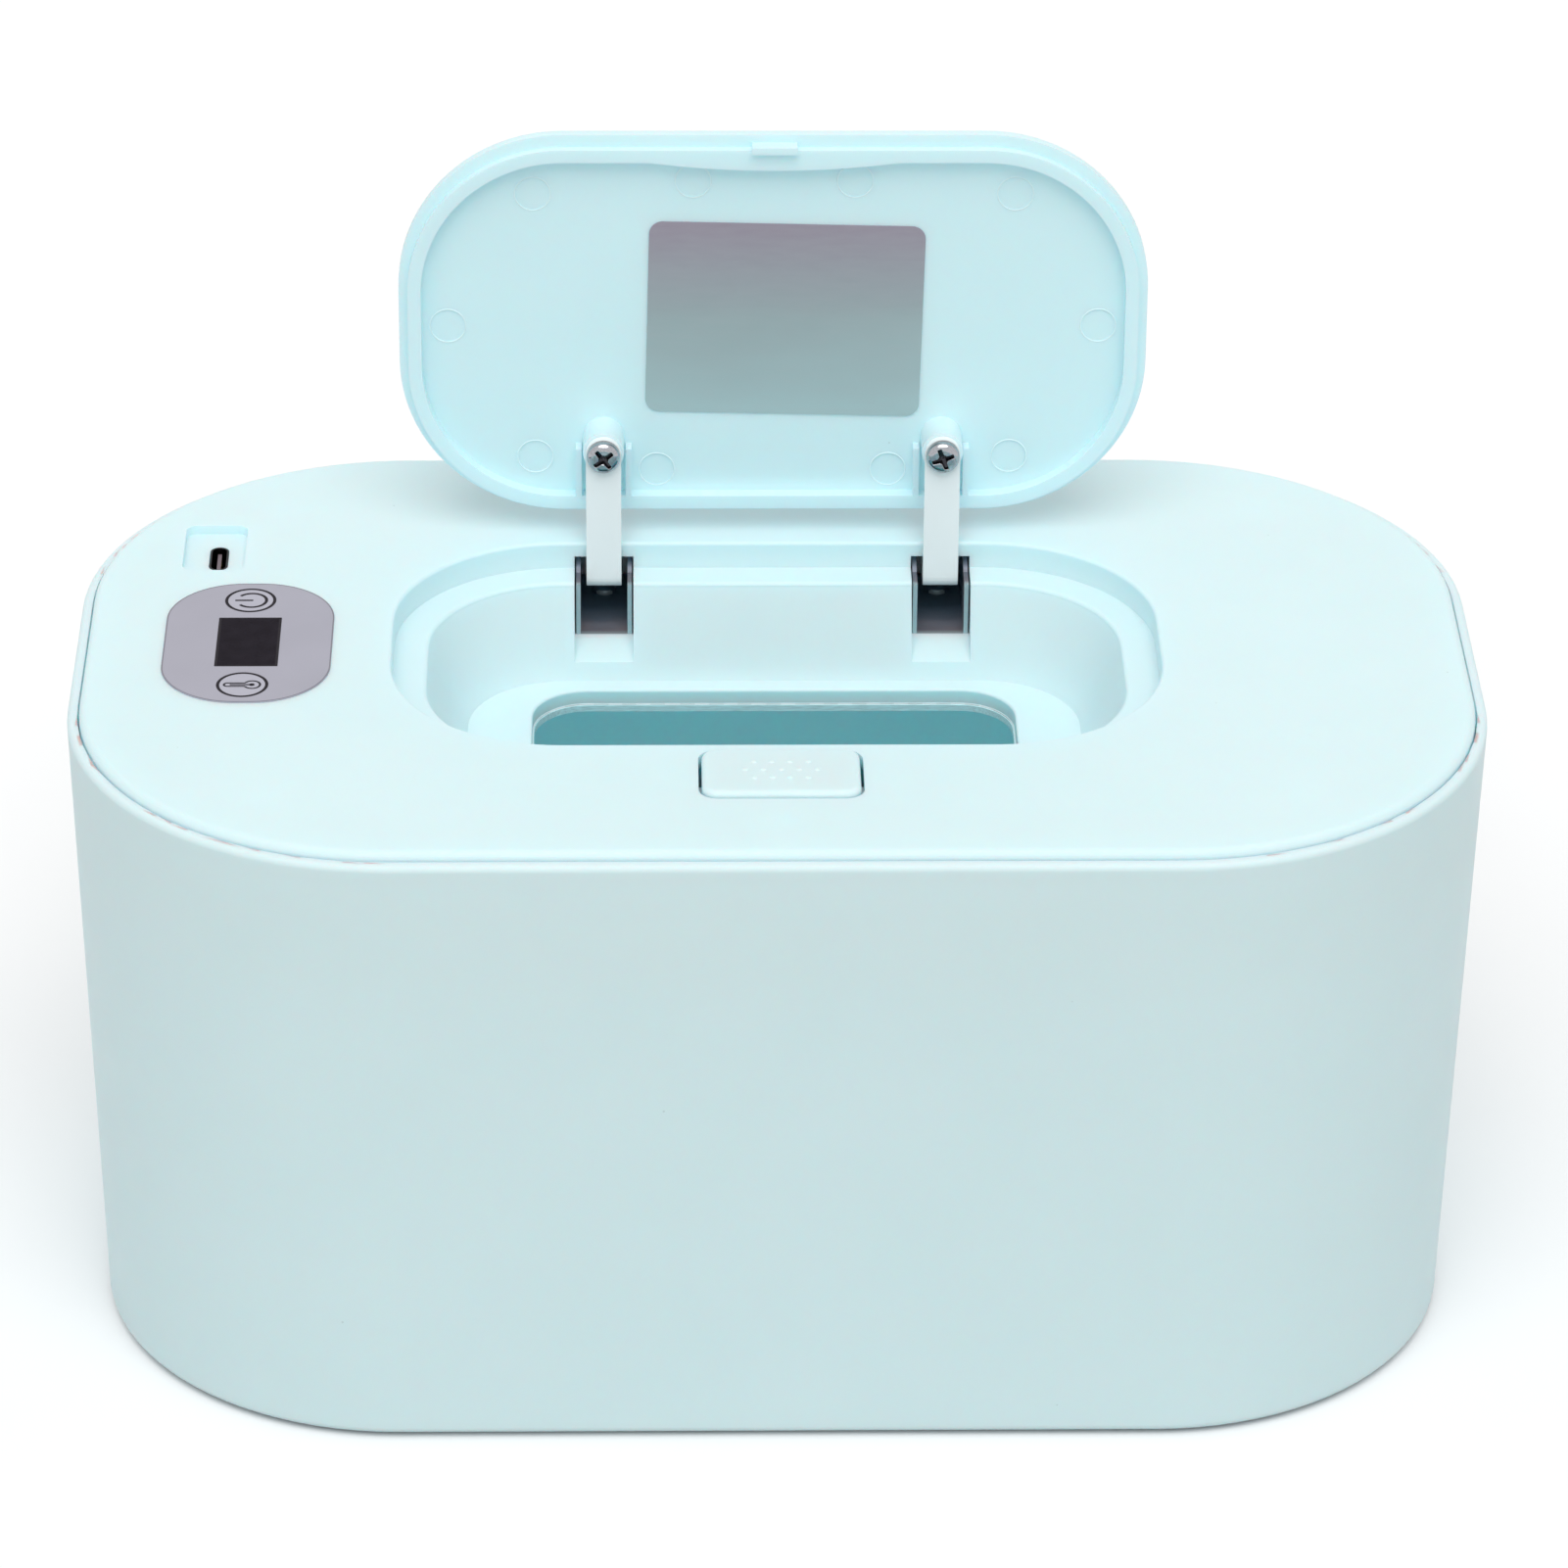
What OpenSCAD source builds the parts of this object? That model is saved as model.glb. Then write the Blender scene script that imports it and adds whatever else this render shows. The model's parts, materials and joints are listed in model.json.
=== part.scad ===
// Baby wipe warmer: a tapered tub, a heated dispensing deck that drops into its rim,
// and a flip lid on two gooseneck arms, shown open as it stands in use.
// Origin: centre of the footprint, on the surface that the feet rest on. +X right, +Y back, +Z up.

/* [Tub] */
// Width of the tub across its rim
tub_w = 250; // [242:0.5:280]
// Depth of the tub across its rim
tub_d = 154.5; // [148:0.5:180]
// Height of the tub from its underside to its rim
tub_h = 117.8; // [95:0.1:150]
// Corner radius of the rim
tub_corner_r = 57.6; // [54:0.1:60]
// How far each side leans in from the rim to the base
tub_taper = 3.1; // [1:0.1:5]
// Wall thickness of the tub
tub_wall = 2.6; // [2:0.1:3.2]
// Thickness of the tub's floor
tub_floor = 3; // [2.4:0.1:5]
// Rounding where the wall meets the underside
base_edge_r = 1.5; // [0.8:0.1:2.2]
// Rounding of the rim's outer edge
rim_edge_r = 1.2; // [0.8:0.1:1.6]
// Flat left on top of the rim
rim_flat = 0.6; // [0.4:0.1:1.2]
// Depth of the seat below the rim
seat_drop = 3.2; // [2.8:0.1:4]
// Width of the seat that carries the deck
seat_w = 2.8; // [2.2:0.1:3.4]
// Thickness of the seat at its inner edge
seat_t = 1.6; // [1.2:0.1:2.4]

/* [Feet] */
// Radius of each rubber foot
foot_r = 7; // [5:0.1:9]
// How far the feet stand out of the underside
foot_proud = 0.8; // [0.5:0.1:2]
// Depth of the pockets that hold the feet
foot_pocket = 0.8; // [0.5:0.1:1.5]
// Gap round a foot in its pocket
foot_gap = 0.1; // [0.05:0.05:0.3]
// Distance from the centre to a foot, along X
foot_x = 85; // [70:0.5:95]
// Distance from the centre to a foot, along Y
foot_y = 45; // [35:0.5:52]

/* [Deck] */
// Gap between the rim and the deck
deck_gap = 0.3; // [0.2:0.05:0.6]
// How far the deck stands above the rim
deck_proud = 1.5; // [1:0.1:2]
// Rounding of the deck's outer edge
deck_edge_r = 1.6; // [1:0.1:2]
// Thickness of the deck's top plate
deck_t = 2.5; // [2.2:0.1:2.8]
// Thickness of the seal under the deck's flange
seal_t = 0.8; // [0.5:0.1:1.2]
// Gap between the seat and the skirt that drops inside it
skirt_gap = 0.4; // [0.25:0.05:0.8]
// Thickness of the skirt
skirt_t = 2; // [1.5:0.1:2.6]

/* [Lid recess and well] */
// Width of the lid recess, across its rounded edge
recess_w = 138.2; // [132:0.1:142]
// Depth of the lid recess, across its rounded edge
recess_d = 77.8; // [76:0.1:80]
// Corner radius of the recess
recess_r = 31; // [29:0.1:33]
// Centre of the recess, behind the centre of the tub
recess_y = 1.6; // [0:0.1:3]
// Rounding of the recess's top edge
recess_edge_r = 0.6; // [0.3:0.1:0.8]
// Height of the recess wall above the ledge
recess_h = 5.1; // [4.9:0.1:5.6]
// Width of the ledge that the lid closes on
ledge_w = 6.9; // [6:0.1:7.6]
// Rounding of the ledge's inner edge
ledge_edge_r = 0.8; // [0.4:0.1:1.2]
// Depth of the well's floor below the deck
well_h = 21.7; // [21:0.1:23]
// How far the well's wall leans in from the ledge to the floor
well_lean = 6.7; // [5:0.1:8]
// Wall thickness of the recess and the well
well_t = 2.2; // [1.8:0.1:2.4]
// Thickness of the well's floor
well_floor_t = 2.8; // [2:0.1:3]
// Width of the dispensing opening
opening_w = 87.7; // [70:0.1:92]
// Depth of the dispensing opening
opening_d = 43.5; // [36:0.1:46]
// Corner radius of the dispensing opening
opening_r = 10; // [6:0.1:14]
// Rounding of the opening's top edge
opening_edge_r = 0.5; // [0.3:0.1:0.8]

/* [Heater] */
// Thickness of the heater film
film_t = 0.3; // [0.2:0.05:0.5]
// Thickness of the aluminium heat plate
plate_t = 1.2; // [0.8:0.1:2]
// How far the heat plate reaches past the well's foot, to the left and the right
plate_side = 10.1; // [9:0.1:14]
// How far the heat plate reaches past the well's foot, to the front and the back
plate_front = 8.3; // [6:0.1:12]
// Corner radius of the heat plate
plate_corner_r = 24; // [18:0.5:30]
// Thickness of the tray that closes the deck
tray_t = 2; // [1.6:0.1:3]
// Width of the tray's window
tray_window_w = 104; // [96:0.5:118]
// Depth of the tray's window
tray_window_d = 56; // [50:0.5:60]

/* [Lid] */
// Gap between the closed lid and the recess at the sides
lid_gap_x = 0.6; // [0.4:0.05:1]
// Gap between the closed lid and the recess at the front
lid_gap_front = 1.2; // [0.9:0.05:1.5]
// Gap between the closed lid and the recess at the back
lid_gap_back = 1.4; // [1:0.05:1.6]
// Thickness of the lid's top
lid_skin = 2; // [1.6:0.1:2.4]
// Thickness of the lid's outer flange
lid_flange_t = 3; // [2.6:0.1:3.4]
// Rounding of the lid's top edge
lid_edge_r = 1.2; // [0.8:0.1:1.6]
// Step from the lid's outer edge in to its lip
lip_in = 1.65; // [1.3:0.05:2]
// How far the lip is set back from the middle of the lid
lip_shift = 0.65; // [0:0.05:0.8]
// Width of the lip
lip_w = 2.4; // [1.8:0.1:2.8]
// Height of the lip, from the lid's top
lip_h = 4.8; // [4.4:0.05:4.8]
// Width of the thickened arc in the lip over the latch
bump_w = 45; // [38:0.5:52]
// How far that arc stands in from the lip
bump_in = 1.5; // [1:0.1:2.2]
// Width of the latch lug
lug_w = 8.2; // [6:0.1:9]
// Thickness of the latch lug
lug_t = 1.3; // [0.9:0.05:1.4]
// How far the lug stands below the lip
lug_h = 1.2; // [0.8:0.1:1.4]
// Width of the bare label inside the lid
lid_label_w = 50; // [40:0.5:54]
// Height of the bare label inside the lid
lid_label_d = 37.5; // [30:0.5:42]
// Thickness of the labels
label_t = 0.25; // [0.1:0.05:0.4]

/* [Hinge] */
// Angle between the closed and the open lid
lid_open = 91.5; // [90:0.5:95]
// Distance of each arm from the middle
arm_x = 30.9; // [28:0.1:33]
// Width of each arm
arm_w = 6.4; // [5.6:0.1:6.8]
// Thickness of each arm
arm_t = 1.4; // [1.1:0.05:1.6]
// Distance of the pivot behind the recess
pivot_back = 5.1; // [4.8:0.1:5.5]
// Depth of the pivot below the deck's top
pivot_drop = 3.1; // [3:0.05:3.3]
// Distance from the pivot to the arm's strap
strap_off = 6.5; // [6.3:0.05:6.7]
// How far the arm's heel reaches past the pivot
heel = 5.5; // [5:0.1:6.2]
// Distance from the lid's back edge to each arm screw
screw_in = 14.4; // [13:0.1:17]
// Radius of the hinge pin
pin_r = 0.8; // [0.6:0.05:0.9]
// Running clearance between the pin and the arm
pin_gap = 0.05; // [0.02:0.01:0.1]
// Radius of the arm's eye
eye_r = 1.7; // [1.55:0.05:1.8]
// Radius of the boss under each arm screw
boss_r = 3.75; // [3.2:0.05:4.2]
// Width of the slot round each arm
slot_w = 10.8; // [10.6:0.1:12]
// Thickness of the steel bracket
bracket_t = 0.8; // [0.6:0.05:1]

/* [Release button] */
// Width of the hole for the button
button_hole_w = 28.6; // [24:0.1:30]
// Depth of the hole for the button
button_hole_d = 17.3; // [15:0.1:17.8]
// Distance from the recess to the button's hole
button_strip = 1.75; // [1.7:0.05:2.5]
// Gap round the button
button_gap = 0.55; // [0.4:0.05:0.7]
// How far the button stands above the deck
button_proud = 0.9; // [0.6:0.1:1.4]
// Rounding of the button's top edge
button_edge_r = 1.2; // [0.8:0.1:1.6]
// Corner radius of the button
button_corner_r = 2.8; // [2:0.1:4]
// Travel of the button
button_travel = 2; // [1.2:0.1:2.2]
// Travel of the latch for each millimetre of the button's
latch_ratio = 0.6; // [0.4:0.05:0.65]
// Pitch of the grip dots along a row
dot_pitch = 3.1; // [2.6:0.1:3.6]
// Pitch of the rows of grip dots
dot_row = 2.8; // [2.2:0.1:3.2]

/* [Controls] */
// Distance from the tub's side to the centre of the control label
label_inset = 30.8; // [30:0.1:33]
// Distance from the charging port's centre forward to the centre of the control label
label_to_port = 36.1; // [34:0.05:38]
// Width of the control label
label_w = 30; // [27:0.1:32]
// Length of the control label
label_d = 45; // [42:0.1:48]
// Corner radius of the control label
label_corner_r = 13.5; // [8:0.5:15]
// Width of the display window
window_w = 11.2; // [9:0.1:13]
// Length of the display window
window_d = 18.5; // [15:0.1:20]
// Distance between the two touch rings
touch_pitch = 32.1; // [29:0.1:34]
// Distance from the tub's side to the centre of the charging port
port_inset = 23.7; // [22.5:0.1:26]
// Distance from the tub's back to the centre of the charging port
port_back = 40.2; // [38:0.05:42]
// Width of the pocket round the charging port
port_w = 11.3; // [10:0.1:13]
// Length of the pocket round the charging port
port_d = 17.7; // [15:0.1:19]
// Depth of that pocket
port_depth = 1.7; // [1.4:0.1:2.4]

/* [Hidden] */
$fn = 48;

// How far a piece reaches into the one that it grows from, how far a cut reaches past a face,
// and how far past one that has something close behind it
bite = 0.5;
over = 1;
skim = 0.05;

// Small sizes of the deck and its heater
seal_gap = 0.3;
plate_inset = 0.3;
film_inset = 0.15;
cutout_w = 5;
cutout_l = 10;
cutout_h = 3;
cutout_in = 2;
cutout_back = 8;
sensor_r = 2;
sensor_h = 2.2;
sensor_in = 4.5;
sensor_front = 14;

// Small sizes of the lid
ejector_marks = [[43.5, 62.2], [14.6, 64.7], [59.1, 36.3], [43.4, 10.2], [21.2, 7.6]];
ejector_r = 3.1;
ejector_depth = 0.15;
lug_in = 1.4;
rib_t = 1.1;
rib_span = 10.2;
rib_back = 1.5;
lid_label_x = 2.1;
lid_label_in = 37.6;
lid_label_turn = 1.25;
lid_label_r = 2.5;

// Small sizes of the hinge
bracket_gap = 0.3;
bracket_drop = 12.9;
bracket_front = 11.1;
bracket_rear = 12.9;
bracket_back_gap = 0.5;
ear_r = 1.63;
ear_top_w = 1.2;
ear_top_h = 1.1;
ear_front = 6.3;
ear_drop = 0.7;
ear_back = 5;
ear_back_h = 3;
ramp_l = 7.8;
ramp_drop = 3.2;
slot_bridge = 2.8;
slot_skin = 1.1;
slot_wall = 1.6;
eye_space = 0.9;
bend_in = 0.8;
coil_gap = 0.2;
coil_in = 0.1;
coil_bore = 0.15;
arm_head_r = 3.05;
arm_head_h = 2;
arm_shank_r = 1.2;
arm_screw_l = 6;

// Small sizes of the button and the latch
button_wall = 1.6;
button_flange_w = 1.3;
button_flange_t = 1.2;
cup_ease = 0.4;
stop_gap = 0.1;
dot_r = 0.57;
dot_h = 0.2;
slide_gap = 0.5;
slider_w = 10;
slider_t = 1.4;
slider_front = 5;
finger_w = 8;
finger_t = 1;
finger_gap = 0.8;
finger_drop = 0.2;
latch_gap = 0.2;
lug_gap = 1;
leg_w = 4;
leg_t = 3;
leg_back = 1.5;
leg_gap = 0.15;
leg_below = 1.2;
leg_slot_front = 4;
leg_slot_l = 8.5;
guide_t = 1.6;
guide_reach = 5;
guide_end = 3;
guide_boss_x = 19;
rail_w = 1.7;
rail_h = 1.5;
rail_gap = 0.3;
spring_x = 9.5;
spring_r = 2.2;
spring_slack = 0.05;
post_h = 3.5;
post_gap = 0.25;
sleeve_t = 0.5;

// Small sizes of the controls, the boards and the charging socket
board_w = 33;
board_d = 49;
board_t = 1.6;
board_drop = 5.5;
board_boss_in = 3;
board_blocks = [[-6, -4, 7, 7, 1.2], [5, -8, 6, 6, 3], [5, 4, 5, 8, 2], [-11, -14, 9, 5, 4]];
board_cans = [[-8, 13], [-1, 13]];
can_r = 2.5;
can_h = 5;
lens_t = 1.6;
lens_gap = 0.15;
touch_r = 3.2;
touch_gap = 0.1;
port_shift_x = -0.7;
port_shift_y = 1.15;
port_corner_r = 2;
port_wall = 1.7;
socket_w = 3.3;
socket_d = 9.1;
socket_h = 7;
socket_t = 0.3;
socket_floor = 0.6;
socket_gap = 0.1;
tongue_w = 6.7;
tongue_t = 0.7;
tongue_drop = 0.8;
usb_board_w = 12;
usb_board_d = 19.4;
usb_board_left = 4;
usb_boss_gap = 0.4;
ribbon_w = 3.5;
ribbon_t = 0.5;
ribbon_drop = 1;
ribbon_in = 3;
ribbon_right = 3;
ribbon_over = 2;
lead_r = 0.6;
lead_gap = 0.05;
lead_in = 2;
lead_over = 4;
lead_fronts = [5, 2];

// Screws and the bosses that take them
screw_gap = 0.1;
small_boss_r = 2.4;
small_shank_r = 1;
small_head_r = 2.1;
small_head_h = 1.2;
board_screw_l = 4;
bracket_screw_l = 4;
bracket_screw_back = [6.4, 10.7];
blind_t = 1;
tip_gap = 0.5;
tray_boss_r = 4;
tray_boss_in = 5.5;
tray_boss_turn = 33;
tray_boss_front = 2.2;
tray_hole_gap = 0.3;
tray_shank_r = 1.5;
tray_head_r = 3;
tray_head_h = 1.8;
tray_screw_l = 10;

// Heights, from the surface that the feet rest on
z_base = foot_proud;
z_rim = z_base + tub_h;
z_seat = z_rim - seat_drop;
z_deck = z_rim + deck_proud;
z_under = z_deck - deck_t;
z_ledge = z_deck - recess_h;
z_floor = z_deck - well_h;
z_film = z_floor - well_floor_t;
z_plate = z_film - film_t;
z_tray = z_plate - plate_t;

// The tub's and the deck's corners turn about the same four centres
body_cx = tub_w / 2 - tub_corner_r;
body_cy = tub_d / 2 - tub_corner_r;
rim_in_r = tub_corner_r - rim_edge_r - rim_flat;
seat_in_r = rim_in_r - seat_w;
deck_r = rim_in_r - deck_gap;
skirt_r = seat_in_r - skirt_gap;
skirt_in_r = skirt_r - skirt_t;

// The recess's, the well's and the lid's corners turn about these centres
recess_cx = recess_w / 2 - recess_r;
recess_cy = recess_d / 2 - recess_r;
recess_wall_r = recess_r - recess_edge_r;
ledge_in_r = recess_r - ledge_w;
floor_r = ledge_in_r - well_lean;
well_slope = well_lean / (z_ledge - ledge_edge_r - z_floor);
well_run = well_t * sqrt(1 + well_slope * well_slope);
well_foot_r = floor_r + well_run - well_floor_t * well_slope;

// The heat plate lies under the well's foot
plate_w = 2 * (recess_cx + well_foot_r + plate_side);
plate_d = 2 * (recess_cy + well_foot_r + plate_front);

// The lid, closed in its recess
lid_r = recess_wall_r - lid_gap_x;
lid_cx = recess_cx;
lid_cy = (recess_d - 2 * recess_edge_r - lid_gap_front - lid_gap_back) / 2 - lid_r;
lid_y = recess_y + (lid_gap_front - lid_gap_back) / 2;
lid_back = lid_y + lid_cy + lid_r;
lid_front = lid_y - lid_cy - lid_r;
z_lid_under = z_deck - lid_skin;
z_lip = z_deck - lip_h;
lip_r = lid_r - lip_in;
lip_in_r = lip_r - lip_w;
z_flange_under = z_deck - lid_flange_t;
lug_y = lid_front + lug_in;

// The hinge
pivot_y = recess_y + recess_d / 2 + pivot_back;
pivot_z = z_deck - pivot_drop;
bore_r = pin_r + pin_gap;
z_strap = pivot_z - strap_off - arm_t;
screw_y = lid_back - screw_in;
strap_len = pivot_y - screw_y;
bend_r = arm_t + bend_in;
ear_half = slot_w / 2 - bracket_gap;
z_bracket = pivot_z - bracket_drop;
bracket_y = pivot_y - bracket_front;
bracket_back_y = pivot_y + bracket_rear;
z_pocket = z_bracket - bracket_t;
pocket_back_y = bracket_back_y + bracket_back_gap;
bracket_screw_ys = [for (back = bracket_screw_back) pivot_y + back];

// The release button and the latch behind it
hole_y = recess_y - recess_d / 2 - button_strip - button_hole_d / 2;
button_w = button_hole_w - 2 * button_gap;
button_d = button_hole_d - 2 * button_gap;
z_button = z_deck + button_proud;
z_cup = z_button - button_wall;
z_flange = z_under - stop_gap;
z_skirt = z_flange - button_flange_t;
z_slider = z_ledge - well_t - slide_gap;
z_slider_under = z_slider - slider_t;
z_guide = z_slider_under - slide_gap / 2;
leg_y = hole_y + leg_back;
finger_back_y = lug_y - latch_gap;
latch_travel = button_travel * latch_ratio;
dome_r = (dot_r * dot_r + dot_h * dot_h) / (2 * dot_h);
grip_dots = [for (row = [-1 : 1]) let (count = row == 0 ? 5 : 4)
    for (i = [0 : count - 1]) [(i - (count - 1) / 2) * dot_pitch, row * dot_row]];

// The controls
label_x = -tub_w / 2 + label_inset;
port_x = -tub_w / 2 + port_inset;
port_y = tub_d / 2 - port_back;
label_y = port_y - label_to_port;
pocket_x = port_x + port_shift_x;
pocket_y = port_y + port_shift_y;
z_board = z_under - board_drop;
z_usb_board = z_deck - port_depth - socket_h;
board_bosses = [for (x = [-1, 1], y = [-1, 1])
    [label_x + x * (board_w / 2 - board_boss_in), label_y + y * (board_d / 2 - board_boss_in)]];
usb_bosses = [for (end = [-1, 1])
    [port_x, port_y + end * (socket_d / 2 + small_boss_r + usb_boss_gap)]];

// The screws that hold the tray to the deck: one in each corner, one at the front and the back
boss_reach = skirt_in_r - tray_boss_r - tray_boss_in;
tray_bosses = concat(
    [for (x = [-1, 1], y = [-1, 1])
        [x * (body_cx + boss_reach * sin(tray_boss_turn)),
         y * (body_cy + boss_reach * cos(tray_boss_turn))]],
    [for (y = [-1, 1]) [0, y * (body_cy + skirt_in_r - tray_boss_r - tray_boss_front)]]);

// A profile of [distance out from the corner centres, height], swept round a rounded rectangle
module around(half_x, half_y) {
    for (mirror_x = [0, 1], mirror_y = [0, 1])
        mirror([mirror_x, 0, 0]) mirror([0, mirror_y, 0])
            translate([half_x, half_y, 0]) rotate_extrude(angle = 90) children();
    for (side = [0, 1])
        mirror([0, side, 0]) translate([-half_x, half_y, 0])
            rotate([90, 0, 90]) linear_extrude(2 * half_x) children();
    for (side = [0, 1])
        mirror([side, 0, 0]) translate([half_x, half_y, 0])
            rotate([90, 0, 0]) linear_extrude(2 * half_y) children();
}

// The same sweep of a profile that starts at the centres, filled between them from z0 to z1
module block(half_x, half_y, z0, z1) {
    around(half_x, half_y) children();
    translate([-half_x, -half_y, z0]) cube([2 * half_x, 2 * half_y, z1 - z0]);
}

// A plate with rounded corners, standing on z = 0
module slab(width, depth, radius, height) {
    block(width / 2 - radius, depth / 2 - radius, 0, height) square([radius, height]);
}

// A drawing of [y, z], extruded along X and centred on it
module along_x(width) {
    translate([-width / 2, 0, 0]) rotate([90, 0, 90]) linear_extrude(width) children();
}

// A hole or a socket with two round ends, its length along Y
module stadium(width, length, height) {
    for (end = [-1, 1])
        translate([0, end * (length - width) / 2, 0]) cylinder(h = height, d = width);
    translate([-width / 2, -(length - width) / 2, 0]) cube([width, length - width, height]);
}

// A pan-head screw with a cross recess: its head hangs below z = 0, its shank stands above
module pan_screw(head_r, head_h, shank_r, length) {
    difference() {
        union() {
            rotate_extrude() polygon(concat([[0, 0], [0, -head_h]],
                [for (a = [0 : 15 : 90]) [head_r * (0.5 + 0.5 * sin(a)),
                                          -head_h * (0.4 + 0.6 * cos(a))]],
                [[head_r, 0]]));
            cylinder(h = length, r = shank_r);
        }
        for (turn = [0, 90])
            rotate([0, 0, turn]) translate([-head_r * 0.55, -head_r * 0.12, -head_h - over])
                cube([head_r * 1.1, head_r * 0.24, over + head_h * 0.55]);
    }
}

// Puts what is drawn for the closed lid into the open pose
module opened() {
    translate([0, pivot_y, pivot_z]) rotate([-lid_open, 0, 0])
        translate([0, -pivot_y, -pivot_z]) children();
}

function arc(x, y, radius, from, to, steps = 6) =
    [for (i = [0 : steps]) let (a = from + (to - from) * i / steps)
        [x + radius * cos(a), y + radius * sin(a)]];

// ---- Tub ----

module tub_profile() {
    inner_r = tub_corner_r - tub_wall;
    z_chamfer = z_seat - seat_t - (inner_r - seat_in_r);
    polygon(concat([[0, z_base]],
        arc(tub_corner_r - tub_taper - base_edge_r, z_base + base_edge_r, base_edge_r, -90, 0),
        arc(tub_corner_r - rim_edge_r, z_rim - rim_edge_r, rim_edge_r, 0, 90),
        [[rim_in_r, z_rim], [rim_in_r, z_seat], [seat_in_r, z_seat], [seat_in_r, z_seat - seat_t],
         [inner_r, z_chamfer], [inner_r - tub_taper, z_base + tub_floor], [0, z_base + tub_floor]]));
}

module tub_shell() {
    color("lightcyan") difference() {
        block(body_cx, body_cy, z_base, z_base + tub_floor) tub_profile();
        for (x = [-foot_x, foot_x], y = [-foot_y, foot_y])
            translate([x, y, -over]) cylinder(h = z_base + foot_pocket + over, r = foot_r + foot_gap);
    }
}

module rubber_feet() {
    color("dimgray") for (x = [-foot_x, foot_x], y = [-foot_y, foot_y])
        translate([x, y, 0]) cylinder(h = foot_proud + foot_pocket, r = foot_r);
}

// ---- Deck ----

module deck_profile() {
    polygon(concat([[0, z_under], [skirt_in_r, z_under], [skirt_in_r, z_tray], [skirt_r, z_tray],
        [skirt_r, z_seat + seal_t], [deck_r, z_seat + seal_t]],
        arc(deck_r - deck_edge_r, z_deck - deck_edge_r, deck_edge_r, 0, 90),
        [[0, z_deck]]));
}

module well_outside_profile() {
    z_turn = z_ledge - well_t;
    turn_r = floor_r + well_run + (z_turn - z_floor) * well_slope;
    polygon([[0, z_film], [well_foot_r, z_film], [turn_r, z_turn],
        [recess_wall_r + well_t, z_turn], [recess_wall_r + well_t, z_under + bite],
        [0, z_under + bite]]);
}

module well_inside_profile() {
    polygon(concat([[0, z_floor], [floor_r, z_floor]],
        arc(ledge_in_r + ledge_edge_r, z_ledge - ledge_edge_r, ledge_edge_r, 180, 90, 4),
        [[recess_wall_r, z_ledge]],
        arc(recess_r, z_deck - recess_edge_r, recess_edge_r, 180, 90, 4),
        [[recess_r, z_deck + over], [0, z_deck + over]]));
}

module opening_cut(inset, z0, z1, edge_r) {
    radius = opening_r - inset;
    translate([0, recess_y, 0])
        block(opening_w / 2 - opening_r, opening_d / 2 - opening_r, z0, z1 + over)
            polygon(concat([[0, z0], [radius, z0]],
                edge_r > 0 ? arc(radius + edge_r, z1 - edge_r, edge_r, 180, 90, 4) : [[radius, z1]],
                [[radius + edge_r, z1 + over], [0, z1 + over]]));
}

// The space that one hinge arm swings in: through the ledge, the well's wall and the recess's wall
module hinge_slot() {
    mouth_y = pivot_y - strap_len - arm_w;
    ramp_y = bracket_y - ramp_l;
    z_ramp = z_bracket - ramp_drop;
    front_y = pivot_y - eye_r - eye_space;
    along_x(slot_w) polygon([[mouth_y, z_ramp], [ramp_y, z_ramp], [bracket_y, z_bracket],
        [bracket_y, z_pocket], [pocket_back_y, z_pocket], [pocket_back_y, z_deck - slot_skin],
        [front_y, z_deck - slot_skin], [front_y, z_deck - slot_bridge],
        [mouth_y, z_deck - slot_bridge]]);
}

module hinge_housing() {
    front_y = recess_y + recess_cy + floor_r + well_t;
    back_y = pocket_back_y + slot_wall;
    z_foot = z_pocket - slot_wall;
    along_x(slot_w + 2 * slot_wall) polygon([[front_y, z_foot - ramp_drop], [bracket_y, z_foot],
        [back_y, z_foot], [back_y, z_under + bite], [front_y, z_under + bite]]);
    for (y = bracket_screw_ys)
        translate([0, y, z_pocket - slot_wall - bracket_screw_l])
            cylinder(h = bracket_screw_l + bite, r = small_boss_r);
}

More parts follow.
